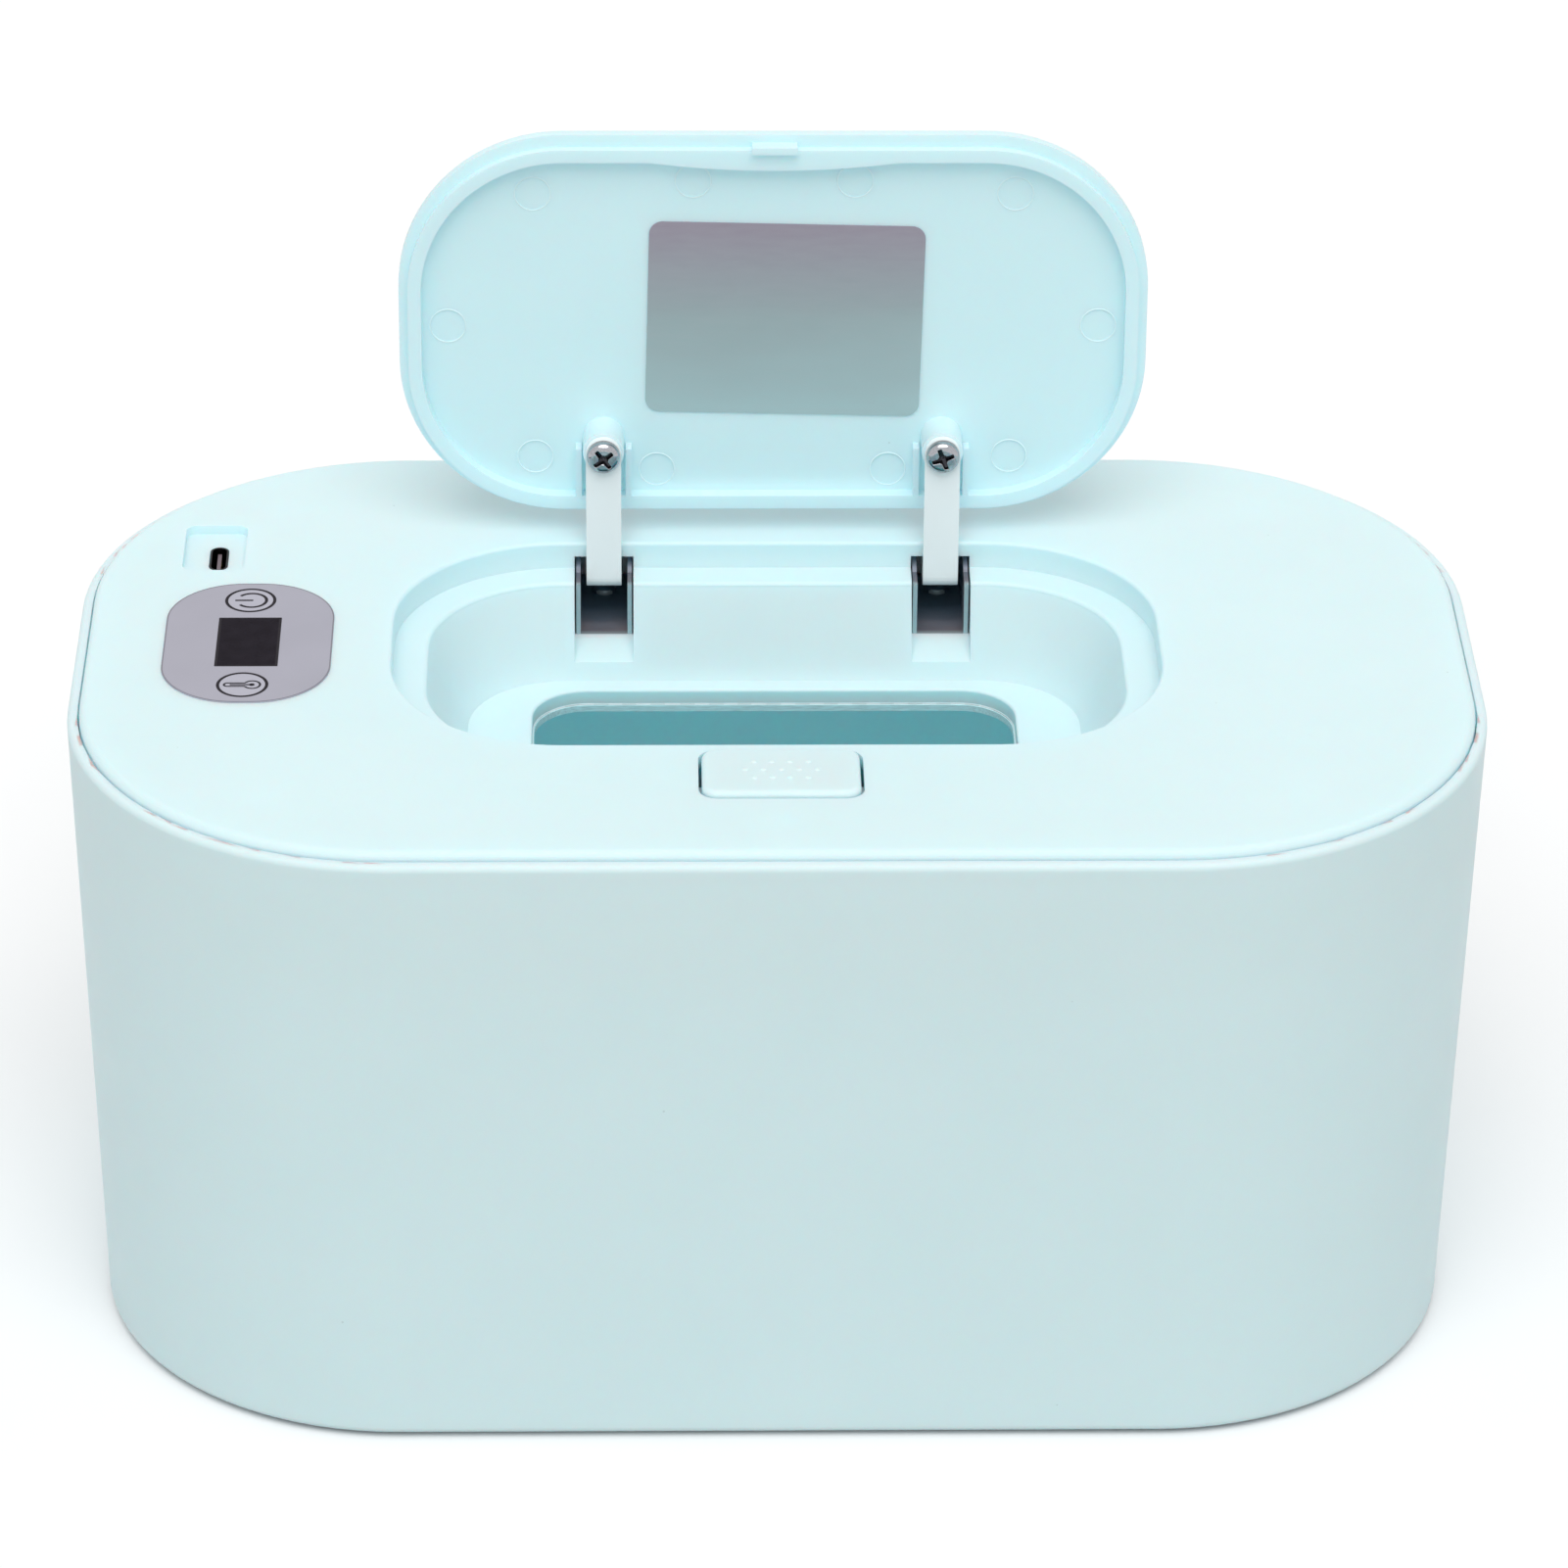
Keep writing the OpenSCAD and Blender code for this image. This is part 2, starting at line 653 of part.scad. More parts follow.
module deck_cover() {
    color("azure") difference() {
        union() {
            block(body_cx, body_cy, z_under, z_deck) deck_profile();
            translate([0, recess_y, 0])
                block(recess_cx, recess_cy, z_film, z_under + bite) well_outside_profile();
            for (side = [-1, 1]) translate([side * arm_x, 0, 0]) hinge_housing();
            for (at = tray_bosses) translate([at.x, at.y, z_tray])
                cylinder(h = z_under - z_tray + bite, r = tray_boss_r);
            for (at = board_bosses) translate([at.x, at.y, z_board])
                cylinder(h = z_under - z_board + bite, r = small_boss_r);
            for (at = usb_bosses) translate([at.x, at.y, z_usb_board])
                cylinder(h = z_under - z_usb_board + bite, r = small_boss_r);
            for (side = [-1, 1]) translate([side * guide_boss_x, hole_y, z_guide])
                cylinder(h = z_under - z_guide + bite, r = small_boss_r);
            translate([pocket_x - port_w / 2 - port_wall, pocket_y - port_d / 2 - port_wall,
                       z_under - port_wall])
                cube([port_w + 2 * port_wall, port_d + 2 * port_wall, port_wall + bite]);
        }
        translate([0, recess_y, 0])
            block(recess_cx, recess_cy, z_floor, z_deck + over) well_inside_profile();
        opening_cut(0, z_film - over, z_floor, opening_edge_r);
        for (side = [-1, 1]) translate([side * arm_x, 0, 0]) {
            hinge_slot();
            for (y = bracket_screw_ys)
                translate([0, y, z_pocket - slot_wall - bracket_screw_l + blind_t])
                    cylinder(h = 2 * bracket_screw_l, r = small_shank_r + screw_gap);
        }
        for (at = tray_bosses) translate([at.x, at.y, z_tray - over])
            cylinder(h = tray_screw_l + over, r = tray_shank_r + screw_gap);
        for (at = board_bosses) translate([at.x, at.y, z_board - over])
            cylinder(h = board_screw_l + over, r = small_shank_r + screw_gap);
        for (at = usb_bosses) translate([at.x, at.y, z_usb_board - over])
            cylinder(h = board_screw_l + over, r = small_shank_r + screw_gap);
        for (side = [-1, 1]) translate([side * guide_boss_x, hole_y, z_guide - over])
            cylinder(h = board_screw_l + over, r = small_shank_r + screw_gap);
        translate([0, hole_y, z_under - over])
            slab(button_hole_w, button_hole_d, button_corner_r + button_gap, deck_t + 2 * over);
        translate([-finger_w / 2 - finger_gap, finger_back_y - finger_t - latch_travel - finger_gap,
                   z_ledge - well_t - over])
            cube([finger_w + 2 * finger_gap,
                  finger_gap + latch_travel + finger_t + latch_gap + lug_t + lug_gap,
                  well_t + over + skim]);
        translate([label_x - window_w / 2, label_y - window_d / 2, z_under - over])
            cube([window_w, window_d, deck_t + 2 * over]);
        translate([pocket_x, pocket_y, z_deck - port_depth])
            slab(port_w, port_d, port_corner_r, port_depth + over);
        translate([port_x, port_y, z_under - port_wall - over])
            stadium(socket_w + 2 * socket_gap, socket_d + 2 * socket_gap, deck_t + port_wall);
    }
}

module deck_seal() {
    color("gainsboro") around(body_cx, body_cy)
        translate([seat_in_r + seal_gap, z_seat]) square([rim_in_r - seat_in_r - 2 * seal_gap, seal_t]);
}

module deck_tray() {
    color("lightblue") difference() {
        translate([0, 0, z_tray - tray_t])
            slab(2 * (body_cx + skirt_r), 2 * (body_cy + skirt_r), skirt_r, tray_t);
        translate([0, recess_y, z_tray - tray_t - over])
            slab(tray_window_w, tray_window_d, opening_r, tray_t + 2 * over);
        for (at = tray_bosses) translate([at.x, at.y, z_tray - tray_t - over])
            cylinder(h = tray_t + 2 * over, r = tray_shank_r + tray_hole_gap);
    }
}

module tray_screws() {
    color("silver") for (at = tray_bosses) translate([at.x, at.y, z_tray - tray_t])
        pan_screw(tray_head_r, tray_head_h, tray_shank_r, tray_screw_l + tray_t - tip_gap);
}

// ---- Heater ----

module heat_plate() {
    color("slategray") difference() {
        translate([0, recess_y, z_tray]) slab(plate_w, plate_d, plate_corner_r, plate_t);
        opening_cut(plate_inset, z_tray - over, z_plate + over, 0);
    }
}

module heater_film() {
    color("darkorange") difference() {
        translate([0, recess_y, z_plate]) slab(plate_w, plate_d, plate_corner_r, film_t);
        opening_cut(film_inset, z_plate - over, z_film + over, 0);
    }
}

module thermal_cutout() {
    color("black") translate([-plate_w / 2 + cutout_in, recess_y + cutout_back, z_film])
        cube([cutout_w, cutout_l, cutout_h]);
}

module temperature_sensor() {
    color("saddlebrown") translate([-plate_w / 2 + sensor_in, recess_y - sensor_front, z_film])
        cylinder(h = sensor_h, r = sensor_r);
}

// ---- Controls ----

module control_board() {
    color("seagreen") difference() {
        translate([label_x - board_w / 2, label_y - board_d / 2, z_board - board_t])
            cube([board_w, board_d, board_t]);
        for (at = board_bosses) translate([at.x, at.y, z_board - board_t - over])
            cylinder(h = board_t + 2 * over, r = small_shank_r + screw_gap);
    }
}

module board_components() {
    color("dimgray") translate([label_x, label_y, z_board - board_t]) {
        for (b = board_blocks) translate([b[0], b[1], -b[4]]) cube([b[2], b[3], b[4]]);
        for (at = board_cans) translate([at.x, at.y, -can_h]) cylinder(h = can_h, r = can_r);
    }
}

module display_module() {
    color("black") translate([label_x - window_w / 2 + 2 * lens_gap, label_y - window_d / 2 + 2 * lens_gap,
                              z_board])
        cube([window_w - 4 * lens_gap, window_d - 4 * lens_gap, z_deck - lens_t - lens_gap - z_board]);
}

module display_lens() {
    color("black") translate([label_x - window_w / 2 + lens_gap, label_y - window_d / 2 + lens_gap,
                              z_deck - lens_t])
        cube([window_w - 2 * lens_gap, window_d - 2 * lens_gap, lens_t + label_t]);
}

module touch_springs() {
    color("gold") for (end = [-1, 1])
        translate([label_x, label_y + end * touch_pitch / 2, z_board]) difference() {
            cylinder(h = z_under - z_board - touch_gap, r = touch_r);
            translate([0, 0, -over]) cylinder(h = z_under - z_board + 2 * over, r = touch_r - sleeve_t);
        }
}

module control_label() {
    color("thistle") translate([label_x, label_y, z_deck]) difference() {
        slab(label_w, label_d, label_corner_r, label_t);
        translate([-window_w / 2, -window_d / 2, -over])
            cube([window_w, window_d, label_t + 2 * over]);
    }
}

module usb_shell() {
    color("black") translate([port_x, port_y, z_usb_board]) difference() {
        stadium(socket_w, socket_d, socket_h);
        translate([0, 0, socket_floor]) stadium(socket_w - 2 * socket_t, socket_d - 2 * socket_t, socket_h);
    }
}

module usb_tongue() {
    color("gray") translate([port_x - tongue_t / 2, port_y - tongue_w / 2,
                             z_usb_board + socket_floor])
        cube([tongue_t, tongue_w, socket_h - socket_floor - tongue_drop]);
}

module usb_board() {
    color("seagreen") difference() {
        translate([port_x - usb_board_left, port_y - usb_board_d / 2, z_usb_board - board_t])
            cube([usb_board_w, usb_board_d, board_t]);
        for (at = usb_bosses) translate([at.x, at.y, z_usb_board - board_t - over])
            cylinder(h = board_t + 2 * over, r = small_shank_r + screw_gap);
    }
}

module board_screws() {
    color("silver") {
        for (at = board_bosses) translate([at.x, at.y, z_board - board_t])
            pan_screw(small_head_r, small_head_h, small_shank_r, board_screw_l + board_t - tip_gap);
        for (at = usb_bosses) translate([at.x, at.y, z_usb_board - board_t])
            pan_screw(small_head_r, small_head_h, small_shank_r, board_screw_l + board_t - tip_gap);
    }
}

// Two wires from the control board down to the heater, and a ribbon from there to the socket's board
module wiring() {
    ribbon_y = label_y + board_d / 2 - ribbon_in;
    ribbon_l = port_y - usb_board_d / 2 + ribbon_over - ribbon_y;
    z_ribbon = z_usb_board - board_t - ribbon_drop;
    color("white") translate([port_x + ribbon_right, ribbon_y, z_ribbon]) {
        cube([ribbon_w, ribbon_l, ribbon_t]);
        cube([ribbon_w, ribbon_t, z_board - board_t - z_ribbon]);
        translate([0, ribbon_l - ribbon_t, 0]) cube([ribbon_w, ribbon_t, ribbon_drop]);
    }
    color("firebrick") for (front = lead_fronts) {
        down_x = label_x + board_w / 2 - lead_in;
        z_end = z_film + lead_r + lead_gap;
        translate([down_x, recess_y - front, z_end]) {
            cylinder(h = z_board - board_t - z_end, r = lead_r);
            sphere(r = lead_r);
            rotate([0, 90, 0]) cylinder(h = -plate_w / 2 + lead_over - down_x, r = lead_r);
        }
    }
}

// ---- Hinge ----

module hinge_bracket(side) {
    z_ear = z_ledge - ear_drop;
    color("slategray") translate([side * arm_x, 0, 0]) difference() {
        union() {
            translate([-ear_half, bracket_y, z_pocket])
                cube([2 * ear_half, bracket_back_y - bracket_y, bracket_t]);
            for (end = [-1, 1]) translate([end * (ear_half - bracket_t / 2), 0, 0])
                along_x(bracket_t) {
                    polygon([[bracket_y, z_pocket], [bracket_back_y, z_pocket],
                        [bracket_back_y, z_pocket + ear_back_h],
                        [pivot_y + ear_back, pivot_z - ear_back],
                        [pivot_y + ear_top_w, pivot_z + ear_top_h],
                        [pivot_y - ear_top_w, pivot_z + ear_top_h],
                        [pivot_y - ear_front, z_ear], [bracket_y, z_ear]]);
                    translate([pivot_y, pivot_z]) circle(r = ear_r);
                }
        }
        translate([-ear_half - over, pivot_y, pivot_z]) rotate([0, 90, 0])
            cylinder(h = 2 * (ear_half + over), r = bore_r);
        for (y = bracket_screw_ys) translate([0, y, z_pocket - over])
            cylinder(h = bracket_t + 2 * over, r = small_shank_r + screw_gap);
    }
}

module left_hinge_bracket() { hinge_bracket(-1); }

module right_hinge_bracket() { hinge_bracket(1); }

module bracket_screws() {
    color("silver") for (side = [-1, 1], y = bracket_screw_ys)
        translate([side * arm_x, y, z_bracket]) mirror([0, 0, 1])
            pan_screw(small_head_r, small_head_h, small_shank_r,
                      bracket_t + slot_wall + bracket_screw_l - blind_t - tip_gap);
}

module hinge_pins() {
    color("silver") for (side = [-1, 1])
        translate([side * arm_x - ear_half, pivot_y, pivot_z]) rotate([0, 90, 0])
            cylinder(h = 2 * ear_half, r = pin_r);
}

module hinge_springs() {
    spring_w = ear_half - bracket_t - arm_w / 2 - 2 * coil_gap;
    color("silver") for (side = [-1, 1], end = [-1, 1])
        translate([side * arm_x + end * (arm_w / 2 + coil_gap + spring_w / 2) - spring_w / 2,
                   pivot_y, pivot_z])
            rotate([0, 90, 0]) difference() {
                cylinder(h = spring_w, r = eye_r - coil_in);
                translate([0, 0, -over]) cylinder(h = spring_w + 2 * over, r = bore_r + coil_bore);
            }
}

module arm_outline() {
    polygon(concat([[-strap_len, z_strap - pivot_z]],
        arc(heel - bend_r, z_strap - pivot_z + bend_r, bend_r, -90, 0),
        arc(heel - bend_r, arm_t - bend_r, bend_r, 0, 90),
        [[0, arm_t], [0, 0]],
        arc(heel - bend_r, arm_t - bend_r, bend_r - arm_t, 90, 0),
        arc(heel - bend_r, z_strap - pivot_z + bend_r, bend_r - arm_t, 0, -90),
        [[-strap_len, -strap_off]]));
    circle(r = eye_r);
}

module hinge_arm(side) {
    color("azure") opened() translate([side * arm_x, 0, 0]) difference() {
        union() {
            translate([0, pivot_y, pivot_z]) along_x(arm_w) arm_outline();
            translate([0, screw_y, z_strap]) cylinder(h = arm_t, d = arm_w);
        }
        translate([-arm_w, pivot_y, pivot_z]) rotate([0, 90, 0]) cylinder(h = 2 * arm_w, r = bore_r);
        translate([0, screw_y, z_strap - over])
            cylinder(h = arm_t + 2 * over, r = arm_shank_r + screw_gap);
    }
}

module left_hinge_arm() { hinge_arm(-1); }

module right_hinge_arm() { hinge_arm(1); }

module arm_screws() {
    color("silver") opened() for (side = [-1, 1])
        translate([side * arm_x, screw_y, z_strap])
            pan_screw(arm_head_r, arm_head_h, arm_shank_r, arm_t + arm_screw_l);
}

// ---- Lid ----

module lid_profile() {
    step_r = (lip_r + lip_in_r) / 2;
    polygon(concat([[0, z_lid_under], [step_r, z_lid_under], [step_r, z_flange_under],
        [lid_r, z_flange_under]],
        arc(lid_r - lid_edge_r, z_deck - lid_edge_r, lid_edge_r, 0, 90),
        [[0, z_deck]]));
}

// The boss that takes one arm's screw, with the two ribs that tie it to the back of the lip
module arm_boss() {
    lip_y = lid_back - lip_in - lip_w + lip_shift;
    rib_y = screw_y + rib_back;
    translate([0, screw_y, z_strap + arm_t])
        cylinder(h = z_lid_under - z_strap - arm_t + bite, r = boss_r);
    for (side = [-1, 1]) translate([side * (rib_span - rib_t) / 2 - rib_t / 2, rib_y, z_lip])
        cube([rib_t, lip_y + bite - rib_y, z_lid_under - z_lip + bite]);
}

module lid_shell() {
    bump_r = (pow(bump_w / 2, 2) + bump_in * bump_in) / (2 * bump_in);
    lip_front_y = lid_front + lip_in + lip_w + lip_shift;
    color("azure") opened() difference() {
        union() {
            translate([0, lid_y, 0]) block(lid_cx, lid_cy, z_lid_under, z_deck) lid_profile();
            translate([0, lid_y + lip_shift, 0]) around(lid_cx, lid_cy)
                translate([lip_in_r, z_lip]) square([lip_w, z_lid_under - z_lip + bite]);
            for (side = [-1, 1]) translate([side * arm_x, 0, 0]) arm_boss();
            intersection() {
                translate([0, lip_front_y + bump_in - bump_r, z_lip])
                    cylinder(h = z_lid_under - z_lip + bite, r = bump_r, $fn = 360);
                translate([-bump_w, lip_front_y - bite, z_lip])
                    cube([2 * bump_w, bump_in + 2 * bite, z_lid_under - z_lip + bite]);
            }
            translate([-lug_w / 2, lug_y, z_lip - lug_h])
                cube([lug_w, lug_t, z_flange_under - z_lip + lug_h + bite]);
        }
        for (side = [-1, 1]) translate([side * arm_x, screw_y, z_strap + arm_t - over])
            cylinder(h = arm_screw_l + tip_gap + over, r = arm_shank_r + screw_gap);
        for (at = ejector_marks, side = [-1, 1])
            translate([side * at.x, lid_back - at.y, z_lid_under - over])
                cylinder(h = over + ejector_depth, r = ejector_r);
    }
}

module lid_label() {
    color("silver") opened() translate([lid_label_x, lid_back - lid_label_in, z_lid_under - label_t])
        rotate([0, 0, lid_label_turn]) slab(lid_label_w, lid_label_d, lid_label_r, label_t);
}

// ---- Release button and latch ----

module release_button() {
    color("azure") translate([0, hole_y, 0]) {
        difference() {
            union() {
                block(button_w / 2 - button_corner_r, button_d / 2 - button_corner_r, z_skirt, z_button)
                    polygon(concat([[0, z_skirt], [button_corner_r, z_skirt]],
                        arc(button_corner_r - button_edge_r, z_button - button_edge_r, button_edge_r, 0, 90),
                        [[0, z_button]]));
                translate([-button_w / 2 - button_flange_w, -button_d / 2 - button_flange_w, z_skirt])
                    cube([button_w + 2 * button_flange_w, button_d / 2 + button_flange_w, button_flange_t]);
            }
            translate([0, 0, z_skirt - over])
                slab(button_w - 2 * button_wall, button_d - 2 * button_wall,
                     button_corner_r - button_wall + cup_ease, z_cup - z_skirt + over);
        }
        for (at = grip_dots) translate([at.x, at.y, z_button + dot_h - dome_r]) sphere(r = dome_r);
        translate([0, leg_y - hole_y, z_slider - slider_t / 2]) slanted_leg(0, z_cup + bite);
    }
}

// The leg that wedges the latch back: it leans to the front as it rises
module slanted_leg(gap, z_top) {
    z_mid = z_slider - slider_t / 2;
    low = z_guide - leg_below - z_mid;
    high = z_top - z_mid;
    along_x(leg_w + 2 * gap) polygon([[-leg_t / 2 - gap - low * latch_ratio, low],
        [leg_t / 2 + gap - low * latch_ratio, low], [leg_t / 2 + gap - high * latch_ratio, high],
        [-leg_t / 2 - gap - high * latch_ratio, high]]);
}

module button_springs() {
    color("silver") for (side = [-1, 1]) translate([side * spring_x, hole_y, z_guide]) difference() {
        cylinder(h = z_cup - z_guide - spring_slack, r = spring_r);
        translate([0, 0, -over]) cylinder(h = z_cup - z_guide + 2 * over, r = spring_r - sleeve_t);
    }
}

module latch_slider() {
    color("white") difference() {
        union() {
            translate([-slider_w / 2, leg_y - slider_front, z_slider_under])
                cube([slider_w, finger_back_y - leg_y + slider_front, slider_t]);
            translate([-finger_w / 2, finger_back_y - finger_t, z_slider_under])
                cube([finger_w, finger_t, z_ledge - finger_drop - z_slider_under]);
        }
        translate([0, leg_y, z_slider - slider_t / 2]) slanted_leg(leg_gap, z_cup);
    }
}

module latch_guide() {
    back_y = finger_back_y - finger_t - finger_gap;
    front_y = hole_y - guide_reach;
    rail_x = slider_w / 2 + rail_gap + rail_w / 2;
    z_foot = z_guide - guide_t;
    color("lightblue") difference() {
        union() {
            translate([-guide_boss_x - guide_end, front_y, z_foot])
                cube([2 * (guide_boss_x + guide_end), 2 * guide_reach, guide_t]);
            translate([-rail_x - rail_w / 2, front_y, z_foot])
                cube([2 * rail_x + rail_w, back_y - front_y, guide_t]);
            for (side = [-1, 1]) {
                translate([side * rail_x - rail_w / 2, front_y, z_guide - bite])
                    cube([rail_w, back_y - front_y, rail_h + bite]);
                translate([side * spring_x, hole_y, z_guide - bite])
                    cylinder(h = post_h + bite, r = spring_r - sleeve_t - post_gap);
            }
        }
        translate([-leg_w / 2 - slide_gap, leg_y - leg_slot_front, z_foot - over])
            cube([leg_w + 2 * slide_gap, leg_slot_l, guide_t + 2 * over]);
        for (side = [-1, 1]) translate([side * guide_boss_x, hole_y, z_foot - over])
            cylinder(h = guide_t + 2 * over, r = small_shank_r + screw_gap);
    }
}

module guide_screws() {
    color("silver") for (side = [-1, 1])
        translate([side * guide_boss_x, hole_y, z_guide - guide_t])
            pan_screw(small_head_r, small_head_h, small_shank_r, board_screw_l + guide_t - tip_gap);
}

tub_shell();
rubber_feet();
deck_cover();
deck_seal();
deck_tray();
tray_screws();
heat_plate();
heater_film();
thermal_cutout();
temperature_sensor();
control_board();
board_components();
display_module();
display_lens();
touch_springs();
control_label();
usb_shell();
usb_tongue();
usb_board();
board_screws();
wiring();
left_hinge_bracket();
right_hinge_bracket();
bracket_screws();
hinge_pins();
hinge_springs();
release_button();
button_springs();
latch_slider();
latch_guide();
guide_screws();
lid_shell();
lid_label();
left_hinge_arm();
right_hinge_arm();
arm_screws();
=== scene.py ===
"""Looks of the baby wipe warmer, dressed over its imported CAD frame.

Metres, +X right, +Y to the back, +Z up, origin under the middle of the tub. The lid rests open,
as it stands in use. Each material and each detail piece has its own function below.
"""
import json
import math

import bmesh
import bpy
from mathutils import Matrix, Vector


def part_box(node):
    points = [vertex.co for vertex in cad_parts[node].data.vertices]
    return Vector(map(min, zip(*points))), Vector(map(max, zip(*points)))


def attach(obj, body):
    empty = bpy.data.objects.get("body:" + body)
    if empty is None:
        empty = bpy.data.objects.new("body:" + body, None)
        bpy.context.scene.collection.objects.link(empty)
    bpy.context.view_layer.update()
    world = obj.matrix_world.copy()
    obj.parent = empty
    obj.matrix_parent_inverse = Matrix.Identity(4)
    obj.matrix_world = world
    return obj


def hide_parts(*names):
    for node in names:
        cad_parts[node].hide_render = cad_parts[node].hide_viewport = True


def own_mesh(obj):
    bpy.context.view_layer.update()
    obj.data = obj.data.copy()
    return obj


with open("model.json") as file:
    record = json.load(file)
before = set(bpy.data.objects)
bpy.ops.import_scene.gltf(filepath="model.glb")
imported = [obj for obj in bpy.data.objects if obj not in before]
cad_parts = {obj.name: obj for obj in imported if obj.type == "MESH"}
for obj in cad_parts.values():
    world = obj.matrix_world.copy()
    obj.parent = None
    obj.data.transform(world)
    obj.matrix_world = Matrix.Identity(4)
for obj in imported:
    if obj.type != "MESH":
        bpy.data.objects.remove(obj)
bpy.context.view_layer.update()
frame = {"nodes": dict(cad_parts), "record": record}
nodes = frame["nodes"]

MM = 0.001

# Sizes of the frame that the detail pieces are set on, in millimetres
PIVOT = Vector((0.0, 45.6, 117.0))      # the lid's hinge line
LID_OPEN = math.radians(91.5)           # how far the lid rests from closed
ARM_X = 30.9                            # each hinge arm, from the middle
SCREW_Y = 24.1                          # the arms' screws, with the lid closed
STRAP_Z = 109.1                         # the arms' undersides, with the lid closed
LID_BACK = 38.5                         # the closed lid's back edge
LID_UNDER = 118.1                       # the closed lid's inner face
LABEL_CENTRE = (-94.2, 0.95)
LABEL_SIZE = (30.0, 45.0)
LABEL_CORNER_R = 13.5
LABEL_TOP = 120.35
DISPLAY_SIZE = (11.2, 18.5)
PORT_CENTRE = (-101.3, 37.05)
PORT_TONGUE_TOP = 117.6
BUTTON_TOP = 121.0                      # the button's face, which its dots stand on
FLOOR_TOP = 98.4                        # the floor of the deck's well
BRACKET_FRONT = 34.5                    # the front edges of the hinge brackets


# ---------------------------------------------------------------- camera, light and floor

PHOTO_PX = 1601.0                       # the photograph is square
FOCAL_PX = 7152.1
SENSOR_MM = 36.0
CAMERA_TARGET = Vector((1.6229, 0.0, 91.618)) * MM
CAMERA_DISTANCE = 1264.81 * MM
CAMERA_ELEVATION = math.radians(29.0798)
CAMERA_YAW = math.radians(1.34828)
CAMERA_ROLL = math.radians(0.5335)


def add_camera():
    """The camera stands where the photograph's did, fitted to the tub, the deck and the lid."""
    forward = Vector((math.sin(CAMERA_YAW) * math.cos(CAMERA_ELEVATION),
                      math.cos(CAMERA_YAW) * math.cos(CAMERA_ELEVATION),
                      -math.sin(CAMERA_ELEVATION)))
    level = Vector((math.cos(CAMERA_YAW), -math.sin(CAMERA_YAW), 0.0))
    upright = level.cross(forward)
    right = level * math.cos(CAMERA_ROLL) + upright * math.sin(CAMERA_ROLL)
    up = upright * math.cos(CAMERA_ROLL) - level * math.sin(CAMERA_ROLL)
    data = bpy.data.cameras.new("camera")
    data.sensor_width = SENSOR_MM
    data.lens = FOCAL_PX / PHOTO_PX * SENSOR_MM
    camera = bpy.data.objects.new("camera", data)
    turn = Matrix((right, up, -forward)).transposed().to_4x4()
    camera.matrix_world = Matrix.Translation(CAMERA_TARGET - forward * CAMERA_DISTANCE) @ turn
    bpy.context.scene.collection.objects.link(camera)
    bpy.context.scene.camera = camera


SUN_STRENGTH = 1.5
SUN_TILT = math.radians(29.0)           # the key light leans over to the camera's side
SUN_SPREAD = math.radians(50.0)         # soft, as from a large softbox
FILL_LEVEL = 0.63                       # what the room sends to the surfaces
WHITE_LEVEL = 1.0                       # what the camera and reflections see of the room


def add_light():
    """One soft key light over the camera, in a white room."""
    sun = bpy.data.lights.new("key", "SUN")
    sun.energy = SUN_STRENGTH
    sun.angle = SUN_SPREAD
    key = bpy.data.objects.new("key", sun)
    key.rotation_euler = (SUN_TILT, 0.0, 0.0)
    bpy.context.scene.collection.objects.link(key)

    world = bpy.data.worlds.new("room")
    bpy.context.scene.world = world
    world.use_nodes = True
    tree = world.node_tree
    background = tree.nodes["Background"]
    background.inputs["Color"].default_value = (1.0, 1.0, 1.0, 1.0)
    level = mapped(tree, seen_rays(tree), FILL_LEVEL, WHITE_LEVEL)
    tree.links.new(level, background.inputs["Strength"])


FLOOR_HALF = 6.0                        # metres, far past the edges of the picture


def add_floor():
    """The paper that the warmer stands on."""
    mesh = bpy.data.meshes.new("floor")
    corners = ((-1, -1), (1, -1), (1, 1), (-1, 1))
    mesh.from_pydata([(FLOOR_HALF * x, FLOOR_HALF * y, 0.0) for x, y in corners],
                     [], [(0, 1, 2, 3)])
    floor = bpy.data.objects.new("floor", mesh)
    bpy.context.scene.collection.objects.link(floor)
    mesh.materials.append(floor_paper())


# ---------------------------------------------------------------- node helpers

NOISE_LOW, NOISE_HIGH = 0.3, 0.7        # nearly all of a noise's values lie between these


def maths(tree, operation, a, b):
    """One operation on two values, each a number or a socket."""
    node = tree.nodes.new("ShaderNodeMath")
    node.operation = operation
    for socket, value in zip(node.inputs, (a, b)):
        if isinstance(value, (int, float)):
            socket.default_value = value
        else:
            tree.links.new(value, socket)
    return node.outputs["Value"]


def mapped(tree, factor, low, high, start_at=0.0, end_at=1.0):
    """A number that goes from low to high as the factor goes from start_at to end_at."""
    node = tree.nodes.new("ShaderNodeMapRange")
    node.inputs["From Min"].default_value = start_at
    node.inputs["From Max"].default_value = end_at
    node.inputs["To Min"].default_value = low
    node.inputs["To Max"].default_value = high
    tree.links.new(factor, node.inputs["Value"])
    return node.outputs["Result"]


def seen_rays(tree):
    """1 for what the camera sees, directly or in a reflection or through a clear piece."""
    rays = tree.nodes.new("ShaderNodeLightPath")
    direct = maths(tree, "MAXIMUM", rays.outputs["Is Camera Ray"], rays.outputs["Is Glossy Ray"])
    return maths(tree, "MAXIMUM", direct, rays.outputs["Is Transmission Ray"])


def start(name, roughness, metallic=0.0, ior=1.5):
    """A new material with its Principled shader, and the object's own coordinates."""
    material = bpy.data.materials.new(name)
    material.use_nodes = True
    tree = material.node_tree
    shader = tree.nodes["Principled BSDF"]
    shader.inputs["Roughness"].default_value = roughness
    shader.inputs["Metallic"].default_value = metallic
    shader.inputs["IOR"].default_value = ior
    return material, tree, shader, own(tree, "Object")


